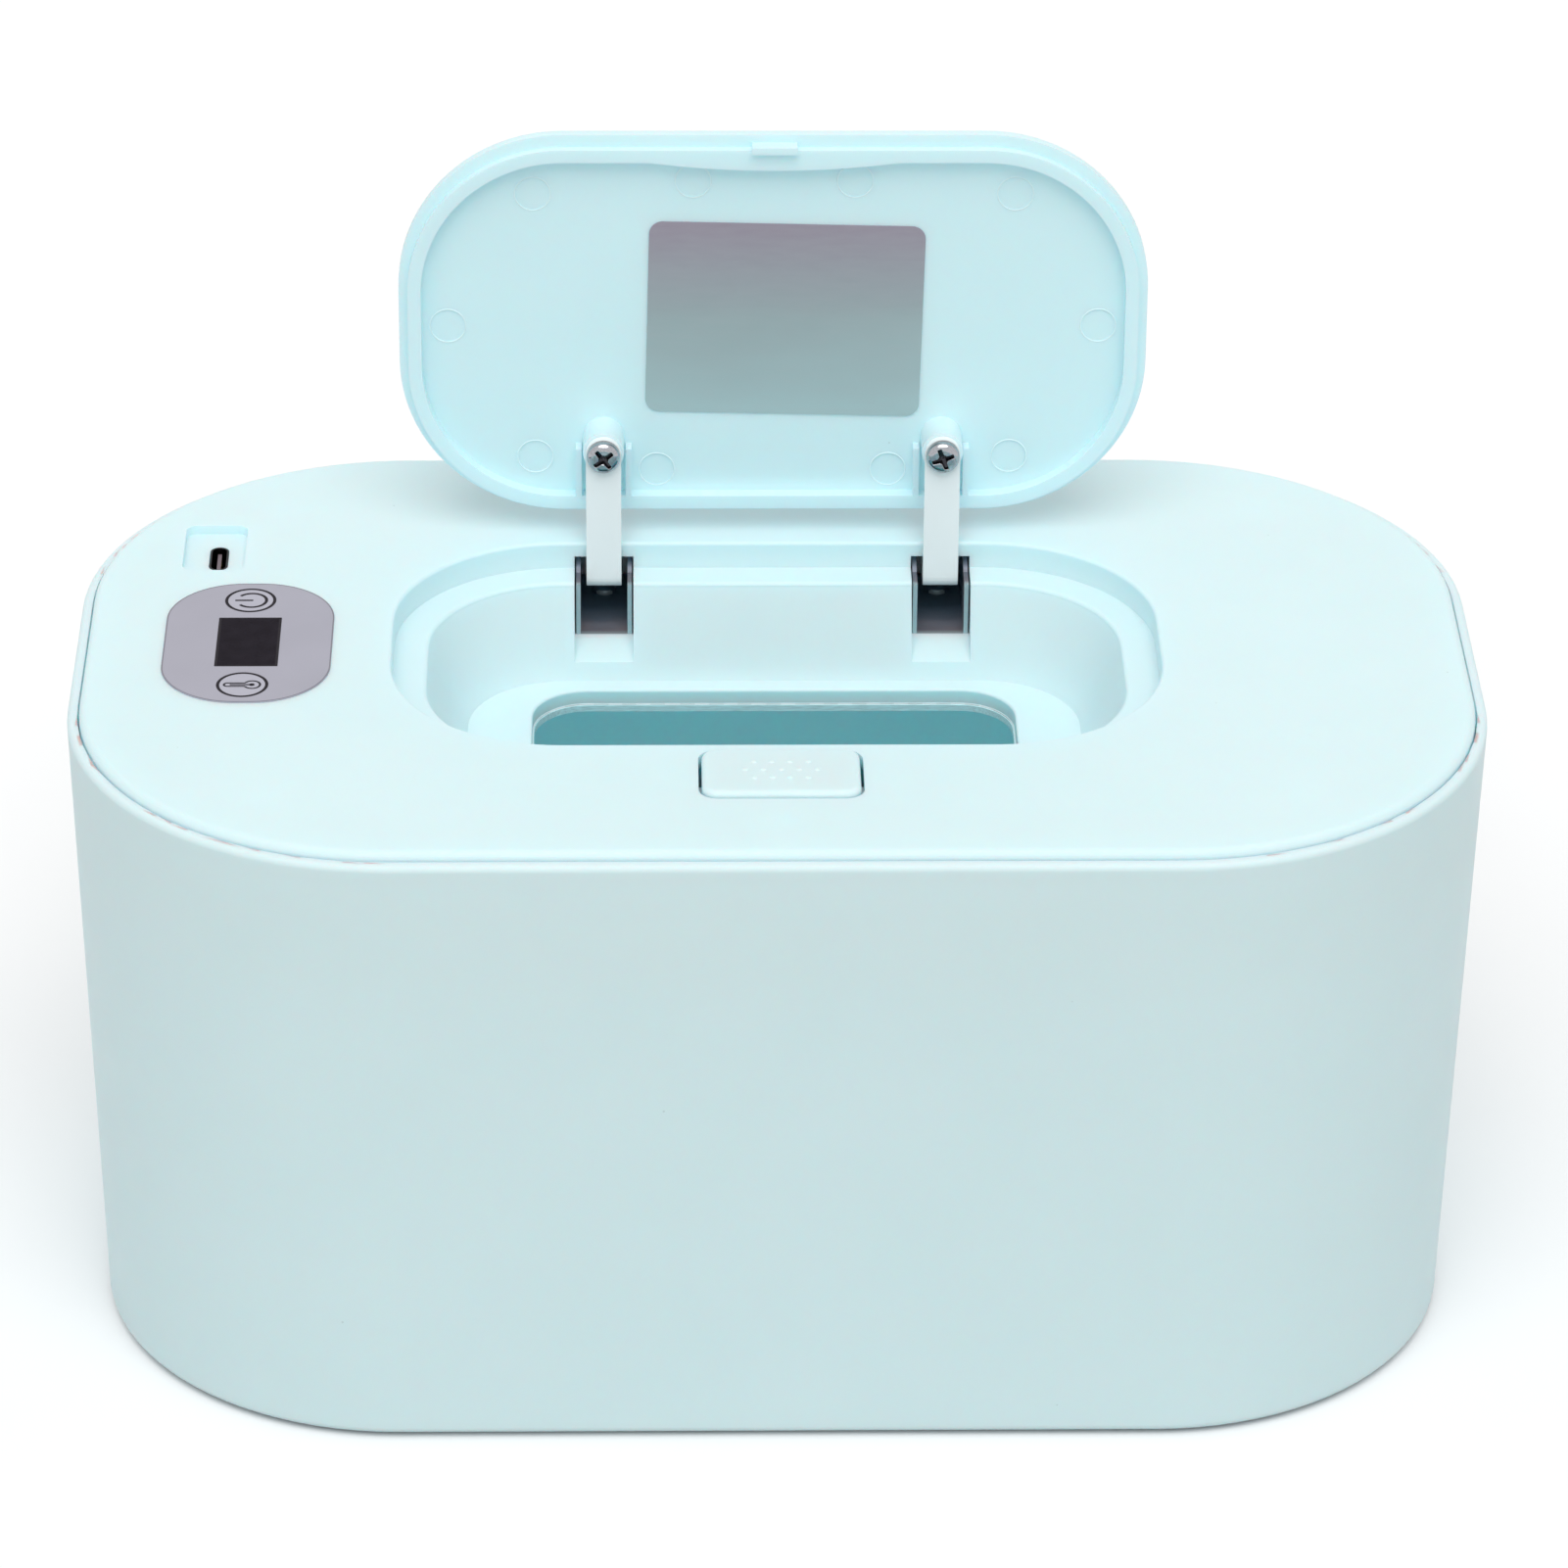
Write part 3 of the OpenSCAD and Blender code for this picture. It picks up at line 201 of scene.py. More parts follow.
def own(tree, output):
    """The object's own coordinates, or the faces' normals in them."""
    return tree.nodes.new("ShaderNodeTexCoord").outputs[output]


def noise(tree, place, feature_mm, detail=2.0, stretch=None):
    """Cloudy noise whose features are about feature_mm wide, scaled by stretch on each axis."""
    if stretch:
        mapping = tree.nodes.new("ShaderNodeMapping")
        mapping.inputs["Scale"].default_value = stretch
        tree.links.new(place, mapping.inputs["Vector"])
        place = mapping.outputs["Vector"]
    node = tree.nodes.new("ShaderNodeTexNoise")
    node.inputs["Scale"].default_value = 1.0 / (feature_mm * MM)
    node.inputs["Detail"].default_value = detail
    tree.links.new(place, node.inputs["Vector"])
    return node.outputs["Fac"]


def between(tree, factor, low, high, start_at=NOISE_LOW, end_at=NOISE_HIGH):
    """A colour that goes from low to high as the factor goes from start_at to end_at."""
    ramp = tree.nodes.new("ShaderNodeValToRGB")
    ramp.color_ramp.elements[0].position = start_at
    ramp.color_ramp.elements[1].position = end_at
    ramp.color_ramp.elements[0].color = (*low, 1.0)
    ramp.color_ramp.elements[1].color = (*high, 1.0)
    tree.links.new(factor, ramp.inputs["Fac"])
    return ramp.outputs["Color"]


def component(tree, vector, axis):
    """What a vector measures along one axis."""
    axes = tree.nodes.new("ShaderNodeSeparateXYZ")
    tree.links.new(vector, axes.inputs["Vector"])
    return axes.outputs[axis]


def along(tree, place, axis, low_mm, high_mm):
    """0 to 1 as the place goes from low_mm to high_mm along an axis, and no further."""
    return mapped(tree, component(tree, place, axis), 0.0, 1.0, low_mm * MM, high_mm * MM)


def towards_middle(tree):
    """1 on the faces that look towards the part's upright middle line, and 0 elsewhere."""
    level = tree.nodes.new("ShaderNodeVectorMath")
    level.operation = "MULTIPLY"
    level.inputs[1].default_value = (1.0, 1.0, 0.0)
    tree.links.new(own(tree, "Object"), level.inputs[0])
    outward = tree.nodes.new("ShaderNodeVectorMath")
    outward.operation = "DOT_PRODUCT"
    tree.links.new(level.outputs["Vector"], outward.inputs[0])
    tree.links.new(own(tree, "Normal"), outward.inputs[1])
    return maths(tree, "LESS_THAN", outward.outputs["Value"], 0.0)


def towards_back(tree):
    """1 on the faces that look to the back of the part, and 0 elsewhere."""
    least = 0.3
    return maths(tree, "GREATER_THAN", component(tree, own(tree, "Normal"), "Y"), least)


def mixed(tree, factor, a, b):
    """Colour a where the factor is 0 and b where it is 1. Each is a socket or a colour."""
    node = tree.nodes.new("ShaderNodeMix")
    node.data_type = "RGBA"
    tree.links.new(factor, node.inputs["Factor"])
    for socket, value in zip([s for s in node.inputs if s.type == "RGBA"], (a, b)):
        if isinstance(value, tuple):
            socket.default_value = (*value, 1.0)
        else:
            tree.links.new(value, socket)
    return [s for s in node.outputs if s.type == "RGBA"][0]


def lightly(tree, factor, share, a, b):
    """Colour a, with no more than a share of colour b mixed in by the factor."""
    return mixed(tree, maths(tree, "MULTIPLY", factor, share), a, b)


def paint(tree, shader, tone):
    tree.links.new(tone, shader.inputs["Base Color"])


def polish(tree, shader, factor, low, high):
    """Drives the shader's roughness between low and high."""
    roughness = mapped(tree, factor, low, high, NOISE_LOW, NOISE_HIGH)
    tree.links.new(roughness, shader.inputs["Roughness"])


def relief(tree, shader, height, depth_mm, strength):
    """Fine unevenness of the surface."""
    node = tree.nodes.new("ShaderNodeBump")
    node.inputs["Distance"].default_value = depth_mm * MM
    node.inputs["Strength"].default_value = strength
    tree.links.new(height, node.inputs["Height"])
    tree.links.new(node.outputs["Normal"], shader.inputs["Normal"])


def shaded(colour, factor):
    return tuple(c * factor for c in colour)


# ---------------------------------------------------------------- materials

PLASTIC_IOR = 1.46
SUBSURFACE_MM = (1.3, 5.5, 7.5)         # how far red, green and blue light spread in pale plastic
CLOUD_MM = 22.0                         # the drifts of tone across a moulding
CLOUD_CONTRAST = 0.012
GRAIN_MM = 1.4                          # its finer mottle
GRAIN_SHARE = 0.1
GRAIN_SHADE = 0.95
PATCH_MM = 9.0                          # the patches that are glossier or duller
PATCH_SPREAD = 0.05
PEEL_STRENGTH = 0.6
SPECK_SPACING_MM = 7.0
SPECK_R_MM = 0.2
SPECK_SHARE = 0.12                      # how many of the places hold a speck
SPECK_COLOUR = (0.12, 0.2, 0.24)
RAISED_FROM_MM, RAISED_TO_MM = 0.02, 0.07
RAISED_HIGHLIGHT = 1.055                    # painted highlight: raised dots are painted a little paler, for the light that comes through them
DEEP_FADE_MM = 0.5
DEEP_SHADE_RED = 0.85                         # painted shade: deep places are painted with less red, for the bluer light among the walls there


def specks(tree, place):
    """1 on rare small dots and 0 elsewhere."""
    cells = tree.nodes.new("ShaderNodeTexVoronoi")
    cells.inputs["Scale"].default_value = 1.0 / (SPECK_SPACING_MM * MM)
    tree.links.new(place, cells.inputs["Vector"])
    colour = tree.nodes.new("ShaderNodeSeparateColor")
    tree.links.new(cells.outputs["Color"], colour.inputs["Color"])
    chosen = maths(tree, "LESS_THAN", colour.outputs["Red"], SPECK_SHARE)
    near = maths(tree, "LESS_THAN", cells.outputs["Distance"], SPECK_R_MM / SPECK_SPACING_MM)
    return maths(tree, "MULTIPLY", chosen, near)


def moulded(name, colour, roughness, peel_mm=0.7, peel_depth_mm=0.003, dirt=0.2, glow=0.0,
            highlight_above_mm=None, shade_tint_below_mm=None, inside=None):
    """Satin moulded plastic: cloudy colour, fine orange peel, and a rare speck moulded in.

    It can be painted paler above a height, a painted highlight, and painted with less red below
    one, a painted tint of the bluer shade in deep places; and its faces that look inwards can be
    painted another tone, painted light inside a hollow part.
    """
    material, tree, shader, place = start(name, roughness, ior=PLASTIC_IOR)
    clouds = noise(tree, place, CLOUD_MM, detail=4.0)
    tone = between(tree, clouds, shaded(colour, 1.0 - CLOUD_CONTRAST),
                   shaded(colour, 1.0 + CLOUD_CONTRAST / 2))
    grain = noise(tree, place, GRAIN_MM, detail=1.0)
    tone = lightly(tree, grain, GRAIN_SHARE, tone, shaded(colour, GRAIN_SHADE))
    tone = lightly(tree, specks(tree, place), dirt, tone, SPECK_COLOUR)
    # painted highlight: paler above the given height
    if highlight_above_mm:
        raised = along(tree, place, "Z", highlight_above_mm + RAISED_FROM_MM,
                       highlight_above_mm + RAISED_TO_MM)
        tone = mixed(tree, raised, tone, shaded(colour, RAISED_HIGHLIGHT))
    # painted shade: below the given height the colour loses some red, a tint of the bluer shade in
    # deep places
    if shade_tint_below_mm:
        deep = along(tree, place, "Z", shade_tint_below_mm, shade_tint_below_mm - DEEP_FADE_MM)
        tone = mixed(tree, deep, tone, (colour[0] * DEEP_SHADE_RED, colour[1], colour[2]))
    # painted light: the faces that look inwards take the given colour, for the light inside a
    # hollow part
    if inside:
        tone = mixed(tree, towards_middle(tree), tone, inside)
    paint(tree, shader, tone)
    polish(tree, shader, noise(tree, place, PATCH_MM), roughness - PATCH_SPREAD,
           roughness + PATCH_SPREAD)
    peel = noise(tree, place, peel_mm, detail=1.0)
    relief(tree, shader, peel, peel_depth_mm, PEEL_STRENGTH)
    shader.inputs["Subsurface Weight"].default_value = glow
    shader.inputs["Subsurface Radius"].default_value = SUBSURFACE_MM
    shader.inputs["Subsurface Scale"].default_value = MM
    return material


def by_side(material, side, socket, elsewhere, here):
    """Drives a number of the shader: here on the faces of that side, and elsewhere on others."""
    tree = material.node_tree
    level = mapped(tree, side(tree), elsewhere, here)
    tree.links.new(level, tree.nodes["Principled BSDF"].inputs[socket])


METAL_GRAIN_MM = 0.25
METAL_GRAIN_SHADE = 0.75
METAL_PATCH_MM = 3.0


def metal(name, colour, roughness, stretch=(1.0, 1.0, 1.0), metallic=1.0):
    """Metal with a fine grain, brushed along the axis whose stretch is least."""
    material, tree, shader, place = start(name, roughness, metallic=metallic)
    grain = noise(tree, place, METAL_GRAIN_MM, detail=3.0, stretch=stretch)
    paint(tree, shader, between(tree, grain, shaded(colour, METAL_GRAIN_SHADE), colour))
    polish(tree, shader, noise(tree, place, METAL_PATCH_MM), roughness * 0.8, roughness * 1.25)
    relief(tree, shader, grain, 0.002, 0.5)
    return material


FLOOR_WHITE = 0.98
FLOOR_FIBRE = 0.015                     # how much darker the paper is between its fibres
FLOOR_BOUNCE = 0.55                     # what the floor sends back to the surfaces


def floor_paper():
    """White paper to the eye, and darker for the light that it throws on the warmer."""
    material, tree, shader, place = start("floor_paper", 0.9)
    fibres = noise(tree, place, 60.0, detail=3.0)
    white = between(tree, fibres, (FLOOR_WHITE - FLOOR_FIBRE,) * 3, (FLOOR_WHITE,) * 3)
    paint(tree, shader, mixed(tree, seen_rays(tree), (FLOOR_BOUNCE,) * 3, white))
    shader.inputs["Specular IOR Level"].default_value = 0.0
    return material


def sticker_film():
    """Silvery film, mauve at the top edge and grey green below, with fine level streaks."""
    lower, middle, upper, streak = ((0.39, 0.565, 0.575), (0.32, 0.41, 0.42),
                                    (0.305, 0.25, 0.315), (0.46, 0.47, 0.5))
    material, tree, shader, place = start("sticker_film", 0.42)
    low, high = (corner.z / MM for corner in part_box("lid_label"))
    clouds = noise(tree, place, 14.0, detail=3.0, stretch=(0.35, 1.0, 1.0))
    climb = along(tree, place, "Z", low, high)
    sway = maths(tree, "ADD", climb, maths(tree, "MULTIPLY", clouds, 0.35))
    tone = between(tree, sway, lower, middle, 0.25, 0.7)
    tone = mixed(tree, along(tree, place, "Z", (low + high) / 2, high), tone, upper)
    streaks = noise(tree, place, 1.1, detail=4.0, stretch=(0.22, 1.0, 1.0))
    paint(tree, shader, lightly(tree, streaks, 0.28, tone, streak))
    polish(tree, shader, streaks, 0.36, 0.5)
    relief(tree, shader, streaks, 0.006, 0.5)
    return material


def label_film(name, colour):
    """Printed film over the display: an even satin grey with a fine grain."""
    material, tree, shader, place = start(name, 0.46)
    grain = noise(tree, place, 0.5)
    clouds = noise(tree, place, 12.0)
    tone = between(tree, clouds, shaded(colour, 0.97), shaded(colour, 1.02))
    paint(tree, shader, lightly(tree, grain, 0.2, tone, shaded(colour, 0.9)))
    relief(tree, shader, grain, 0.002, 0.4)
    return material


def print_ink():
    """Matt black ink."""
    material, tree, shader, place = start("print_ink", 0.6)
    paint(tree, shader, between(tree, noise(tree, place, 0.3), (0.010, 0.008, 0.012),
                                (0.017, 0.013, 0.018)))
    shader.inputs["Specular IOR Level"].default_value = 0.15
    return material


def display_glass():
    """Smoked window: nearly black, a little uneven, with few reflections."""
    material, tree, shader, place = start("display_glass", 0.3, ior=1.12)
    cells = noise(tree, place, 3.0, detail=1.0)
    paint(tree, shader, between(tree, cells, (0.017, 0.014, 0.019), (0.022, 0.0185, 0.025)))
    polish(tree, shader, noise(tree, place, 1.0), 0.26, 0.34)
    shader.inputs["Specular IOR Level"].default_value = 0.1
    return material


def circuit_board():
    """Solder mask with tracks under it."""
    material, tree, shader, place = start("circuit_board", 0.35)
    tracks = tree.nodes.new("ShaderNodeTexBrick")
    tracks.inputs["Scale"].default_value = 400.0
    tracks.inputs["Mortar Size"].default_value = 0.06
    for socket, colour in (("Color1", (0.012, 0.13, 0.05)), ("Color2", (0.014, 0.15, 0.06)),
                           ("Mortar", (0.05, 0.3, 0.12))):
        tracks.inputs[socket].default_value = (*colour, 1.0)
    tree.links.new(place, tracks.inputs["Vector"])
    paint(tree, shader, tracks.outputs["Color"])
    relief(tree, shader, tracks.outputs["Fac"], 0.02, 0.5)
    return material


def heater_film():
    """Pale silvery film with the heating track showing through."""
    film, tracks = (0.74, 0.82, 0.83), (0.86, 0.92, 0.93)
    material, tree, shader, place = start("heater_film", 0.3)
    track = tree.nodes.new("ShaderNodeTexWave")
    track.inputs["Scale"].default_value = 60.0
    track.inputs["Distortion"].default_value = 1.0
    tree.links.new(place, track.inputs["Vector"])
    paint(tree, shader, between(tree, track.outputs["Fac"], film, tracks, 0.45, 0.55))
    relief(tree, shader, track.outputs["Fac"], 0.02, 0.5)
    return material


def silicone():
    """Milky silicone that lets some light through."""
    material, tree, shader, place = start("clear_silicone", 0.5, ior=1.41)
    clouds = noise(tree, place, 4.0, detail=3.0)
    paint(tree, shader, between(tree, clouds, (0.66, 0.74, 0.76), (0.76, 0.82, 0.84)))
    shader.inputs["Transmission Weight"].default_value = 0.35
    relief(tree, shader, clouds, 0.01, 0.3)
    return material


def blued_steel():
    """Blued sheet, dark blue, with rub marks and bare front edges. Towards the front it is painted
    paler and mauve, a painted reflection of the lighter room seen from the slot's mouth.
    """
    blue, mauve, rubbed, bare_steel = ((0.10, 0.155, 0.22), (0.27, 0.23, 0.25),
                                       (0.4, 0.38, 0.4), (0.46, 0.55, 0.57))
    material, tree, shader, place = start("bracket_steel", 0.4, metallic=0.35)
    clouds = noise(tree, place, 5.0, detail=3.0)
    # painted reflection: paler and mauve towards the front edge, dark blue further in under the
    # bridge
    forward = along(tree, place, "Y", BRACKET_FRONT + 10.0, BRACKET_FRONT)
    bloom_and_reflection = maths(tree, "MULTIPLY", forward, maths(tree, "ADD", clouds, 0.5))
    tone = between(tree, bloom_and_reflection, blue, mauve, 0.1, 1.0)
    rubs = tree.nodes.new("ShaderNodeTexWave")
    rubs.wave_type = "RINGS"
    rubs.inputs["Scale"].default_value = 160.0
    rubs.inputs["Distortion"].default_value = 3.0
    rubs.inputs["Detail"].default_value = 3.0
    tree.links.new(place, rubs.inputs["Vector"])
    tone = lightly(tree, rubs.outputs["Fac"], 0.1, tone, rubbed)
    sheared = maths(tree, "LESS_THAN", component(tree, own(tree, "Normal"), "Y"), -0.7)
    worn = along(tree, place, "Y", BRACKET_FRONT + 1.3, BRACKET_FRONT + 0.5)
    bare = maths(tree, "MAXIMUM", sheared, maths(tree, "MULTIPLY", worn, 0.6))
    paint(tree, shader, mixed(tree, bare, tone, bare_steel))
    polish(tree, shader, rubs.outputs["Fac"], 0.35, 0.5)
    return material


PALE = (0.705, 0.932, 0.995)            # the very pale ice blue of the shell
SATIN = 0.48                            # its roughness
GLOW = 0.4                              # how much light it lets through
BRUSHED_X = (0.1, 1.0, 1.0)

# painted light: the tub's inner faces are painted a different tone, for the light among its inner
# walls
TUB = moulded("tub_plastic", PALE, SATIN, inside=(0.735, 0.885, 1.0))
by_side(TUB, towards_middle, "Subsurface Weight", GLOW, 1.0)
by_side(TUB, towards_middle, "Subsurface Scale", MM, 3.3 * MM)
LID = moulded("lid_plastic", PALE, SATIN, glow=GLOW)
by_side(LID, towards_back, "Subsurface Scale", MM, 0.3 * MM)
# painted shade: the deck is painted with less red below its well's floor, where its walls stand in
# bluer shade
DECK = moulded("deck_plastic", PALE, SATIN, glow=GLOW, shade_tint_below_mm=FLOOR_TOP - 0.2)
# painted highlight: the button's dots are painted paler above its face
BUTTON = moulded("button_plastic", PALE, SATIN, glow=GLOW, highlight_above_mm=BUTTON_TOP)
RING_FILL = label_film("label_film_light", (0.44, 0.43, 0.5))
EDGE_INK = label_film("label_edge", (0.2, 0.19, 0.23))
INK = print_ink()
# painted highlight: the witness line is painted paler than the shell, for the light its ridge
# catches
WITNESS_LINE_HIGHLIGHT = moulded("witness_line_highlight", (0.78, 0.95, 0.98), 0.4)
# painted shade: the dark metal painted into the screws' cross recesses
SCREW_RECESS_SHADE = metal("screw_recess_shade", (0.06, 0.06, 0.07), 0.2)

palette = {
    "arm_plastic": moulded("arm_plastic", (0.93, 0.97, 0.965), 0.5, peel_mm=0.5),
    "blue_plastic": moulded("blue_plastic", (0.58, 0.88, 0.96), 0.55),
    "white_plastic": moulded("white_plastic", (0.84, 0.87, 0.88), 0.45),
    "black_plastic": moulded("black_plastic", (0.022, 0.022, 0.025), 0.5, dirt=0.0),
    "brown_plastic": moulded("brown_plastic", (0.2, 0.09, 0.04), 0.35),
    "grey_plastic": moulded("grey_plastic", (0.16, 0.12, 0.14), 0.4, peel_mm=0.3),
    "grey_rubber": moulded("grey_rubber", (0.2, 0.21, 0.22), 0.8, peel_mm=0.4,
                           peel_depth_mm=0.02),
    "wire_cover": moulded("wire_cover", (0.5, 0.04, 0.03), 0.5, peel_mm=0.4),
    "steel_screws": metal("steel_screws", (0.47, 0.48, 0.51), 0.1),
    "steel_pins": metal("steel_pins", (0.6, 0.61, 0.63), 0.18, stretch=BRUSHED_X),
    "dark_steel": metal("dark_steel", (0.035, 0.033, 0.036), 0.35),
    "aluminium_plate": metal("aluminium_plate", (0.66, 0.97, 1.0), 0.5, stretch=BRUSHED_X,
                             metallic=0.2),
    "brass_springs": metal("brass_springs", (0.83, 0.6, 0.26), 0.22),
    "spring_steel": metal("bright_wire", (0.55, 0.55, 0.58), 0.25),
    "bracket_steel": blued_steel(),
    "clear_silicone": silicone(),
    "heater_film": heater_film(),
    "circuit_board": circuit_board(),
    "display_glass": display_glass(),
    "label_film": label_film("label_film", (0.385, 0.375, 0.44)),
    "sticker_film": sticker_film(),
}

# The nodes whose look isn't their slot's own: all of pale_plastic, and the blued bracket screws
NODE_LOOKS = {"tub_shell": TUB, "deck_cover": DECK, "lid_shell": LID, "release_button": BUTTON,
              "bracket_screws": palette["bracket_steel"]}


def dress_nodes():
    """Every CAD node takes its own look, or the one that its slot in the record is named for."""
    for part in frame["record"]["subparts"]:
        name = part["node"]
        look = NODE_LOOKS[name] if name in NODE_LOOKS else palette[part["material_slot"]]
        for place in nodes[name].material_slots:
            place.material = look


# ---------------------------------------------------------------- detail pieces

def piece(name, bm, body, slot, *materials):
    """Makes an object from a bmesh in millimetres and lets it ride on a body."""
    bmesh.ops.scale(bm, vec=(MM, MM, MM), verts=bm.verts)
    bmesh.ops.recalc_face_normals(bm, faces=bm.faces)
    mesh = bpy.data.meshes.new(name)
    bm.to_mesh(mesh)
    bm.free()
    for material in materials:
        mesh.materials.append(material)
    made = bpy.data.objects.new(name, mesh)
    bpy.context.scene.collection.objects.link(made)
    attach(made, body)
    return made


def smooth(bm):
    for face in bm.faces:
        face.smooth = True


def bridge(bm, here, there, closed=True):
    """The faces between two lines of vertices, which are rings if they are closed."""
    count = len(here)
    steps = [(i, (i + 1) % count) for i in range(count if closed else count - 1)]
    return [bm.faces.new((here[i], here[j], there[j], there[i])) for i, j in steps]


def band(bm, inner, outer, z, closed=True, material=0):
    """A flat printed band between two lines of points."""
    lines = [[bm.verts.new((x, y, z)) for x, y in line] for line in (inner, outer)]
    for face in bridge(bm, *lines, closed):
        face.material_index = material


def pen_line(bm, points, width, z, material=0):
    """A flat printed line, drawn along the points with a pen of that width."""
    left, right = [], []
    for i, point in enumerate(points):
        before, after = points[max(i - 1, 0)], points[min(i + 1, len(points) - 1)]
        heading = Vector((after[0] - before[0], after[1] - before[1])).normalized()
        across = Vector((-heading.y, heading.x)) * (width / 2)
        left.append((point[0] + across.x, point[1] + across.y))
        right.append((point[0] - across.x, point[1] - across.y))
    band(bm, left, right, z, closed=False, material=material)


def disc(bm, centre, radius, z, material=0):
    face = bm.faces.new([bm.verts.new((x, y, z)) for x, y in circle_points(centre, radius, 64)])
    face.material_index = material


def arc_points(centre, radius, steps, first, last):
    """Points along an arc, from the angle first to the angle last."""
    angles = [first + (last - first) * i / steps for i in range(steps + 1)]
    return [(centre[0] + radius * math.cos(a), centre[1] + radius * math.sin(a)) for a in angles]


def circle_points(centre, radius, steps=96):
    return arc_points(centre, radius, steps, 0.0, 2 * math.pi)[:-1]


def rounded_points(centre, width, depth, radius, steps=16):
    """The outline of a rounded rectangle."""
    points = []
    for turn, (sx, sy) in enumerate(((1, 1), (-1, 1), (-1, -1), (1, -1))):
        cx = centre[0] + sx * (width / 2 - radius)
        cy = centre[1] + sy * (depth / 2 - radius)
        points += arc_points((cx, cy), radius, steps, turn * math.pi / 2, (turn + 1) * math.pi / 2)
    return points


# The printed signs are drawn with their tops to the left, as on the real label. All in mm.
RING_LINE = 0.58                        # the width of the rings' and the arc's line
BAR_LINE = 0.54
OUTLINE_LINE = 0.4
COLUMN_LINE = 0.44
RING_R = 4.33
POWER_CENTRE = (-94.5, 16.9)
HEAT_CENTRE = (-94.5, -15.2)
EDGE_OUT, EDGE_IN = 0.01, 0.25          # where the printed edge starts and ends, from the label's
BORDER_OUT, BORDER_IN = 0.025, 0.45     # and the display's border, out and in from its window
ARC_R = 2.65
ARC_SHIFT = 0.2
ARC_HALF = math.radians(141)
BAR = (-2.8, 0.45)
BULB_AT, BULB_R = 1.75, 1.4
STEM_AT, STEM_HALF = -2.6, 0.62
COLUMN = (-2.2, 1.6)
DROP_AT, DROP_R = 1.7, 0.5
PRINT_Z = LABEL_TOP + 0.012
FILL_Z = LABEL_TOP + 0.006


def label_print():
    """Ink on the label: its edge, two rings, the power sign and the thermometer sign."""
    bm = bmesh.new()
    ink, fill, edge = 0, 1, 2
    width, depth = LABEL_SIZE
    band(bm, *[rounded_points(LABEL_CENTRE, width - 2 * inset, depth - 2 * inset,
                              LABEL_CORNER_R - inset) for inset in (EDGE_IN, EDGE_OUT)],
         PRINT_Z, material=edge)
    for centre in (POWER_CENTRE, HEAT_CENTRE):
        disc(bm, centre, RING_R, FILL_Z, fill)
        band(bm, circle_points(centre, RING_R - RING_LINE / 2),
             circle_points(centre, RING_R + RING_LINE / 2), PRINT_Z, material=ink)

    # power: an arc that is open to the left, and a bar through the gap
    x, y = POWER_CENTRE
    arc = arc_points((x + ARC_SHIFT, y), ARC_R, 48, -ARC_HALF, ARC_HALF)
    pen_line(bm, arc, RING_LINE, PRINT_Z, ink)
    pen_line(bm, [(x + end, y) for end in BAR], BAR_LINE, PRINT_Z, ink)

    # thermometer: the outline of a stem that ends in a bulb, and the column and drop inside
    x, y = HEAT_CENTRE
    meet = math.asin(STEM_HALF / BULB_R)
    outline = arc_points((x + BULB_AT, y), BULB_R, 40, math.pi + meet, 3 * math.pi - meet)
    outline += arc_points((x + STEM_AT, y), STEM_HALF, 20, math.pi / 2, 3 * math.pi / 2)
    outline.append(outline[0])
    pen_line(bm, outline, OUTLINE_LINE, PRINT_Z, ink)
    pen_line(bm, [(x + end, y) for end in COLUMN], COLUMN_LINE, PRINT_Z, ink)
    disc(bm, (x + DROP_AT, y), DROP_R, PRINT_Z, ink)
    piece("label_print", bm, "deck", "label_film", INK, RING_FILL, EDGE_INK)


def display_border():
    """A black line round the display's window."""
    bm = bmesh.new()
    width, depth = DISPLAY_SIZE
    band(bm, *[rounded_points(LABEL_CENTRE, width + 2 * out, depth + 2 * out, corner_r, 2)
               for out, corner_r in ((-BORDER_IN, 0.1), (BORDER_OUT, 0.15))], PRINT_Z)
    piece("display_border", bm, "deck", "display_glass", INK)


# The arm screws, in millimetres
HEAD_R = 3.05
HEAD_H = 2.0
HEAD_CROWN = 0.07                       # how far the head's flat middle falls to its edge
HEAD_FLAT = 0.5                         # how far out the flat middle reaches, as a share
HEAD_SIDE = 0.38                        # how high the head's upright side stands, as a share
HEAD_FOOT = 0.02                        # the gap under the head's edge
SHANK_R = 1.2
SHANK_L = 7.0
WING_REACH = 2.1
WING_HALF, WING_TAPER = 0.5, 0.06       # half a wing's width, and what it loses each mm outwards
WING_WALL, WING_END = 0.09, 0.25        # how far the wing's sides and its end slope
WING_TIP, WING_FALL = 0.75, 0.65        # the wing's depth at its tip, and how much it gains inwards
CONE_DEPTH, CONE_R = 1.4, 0.95          # the cone in the middle of the cross
RECESS_SHADE_FROM = 0.12                      # deeper than this the metal is painted dark, a painted shade in the recess
CROSS_TURNS = (math.radians(38), math.radians(20))  # the left and the right screw's cross


def head_height(r):
    """The pan head's profile: almost flat in the middle and round at the edge."""
    t = r / HEAD_R
    dome = HEAD_H - HEAD_CROWN * min(t / HEAD_FLAT, 1.0) ** 2
    if t <= HEAD_FLAT:
        return dome
    side = HEAD_SIDE * HEAD_H
    past = (t - HEAD_FLAT) / (1.0 - HEAD_FLAT)
    return side + (dome - side) * math.sqrt(max(0.0, 1.0 - past ** 2))


def clamped(value):
    return min(max(value, 0.0), 1.0)


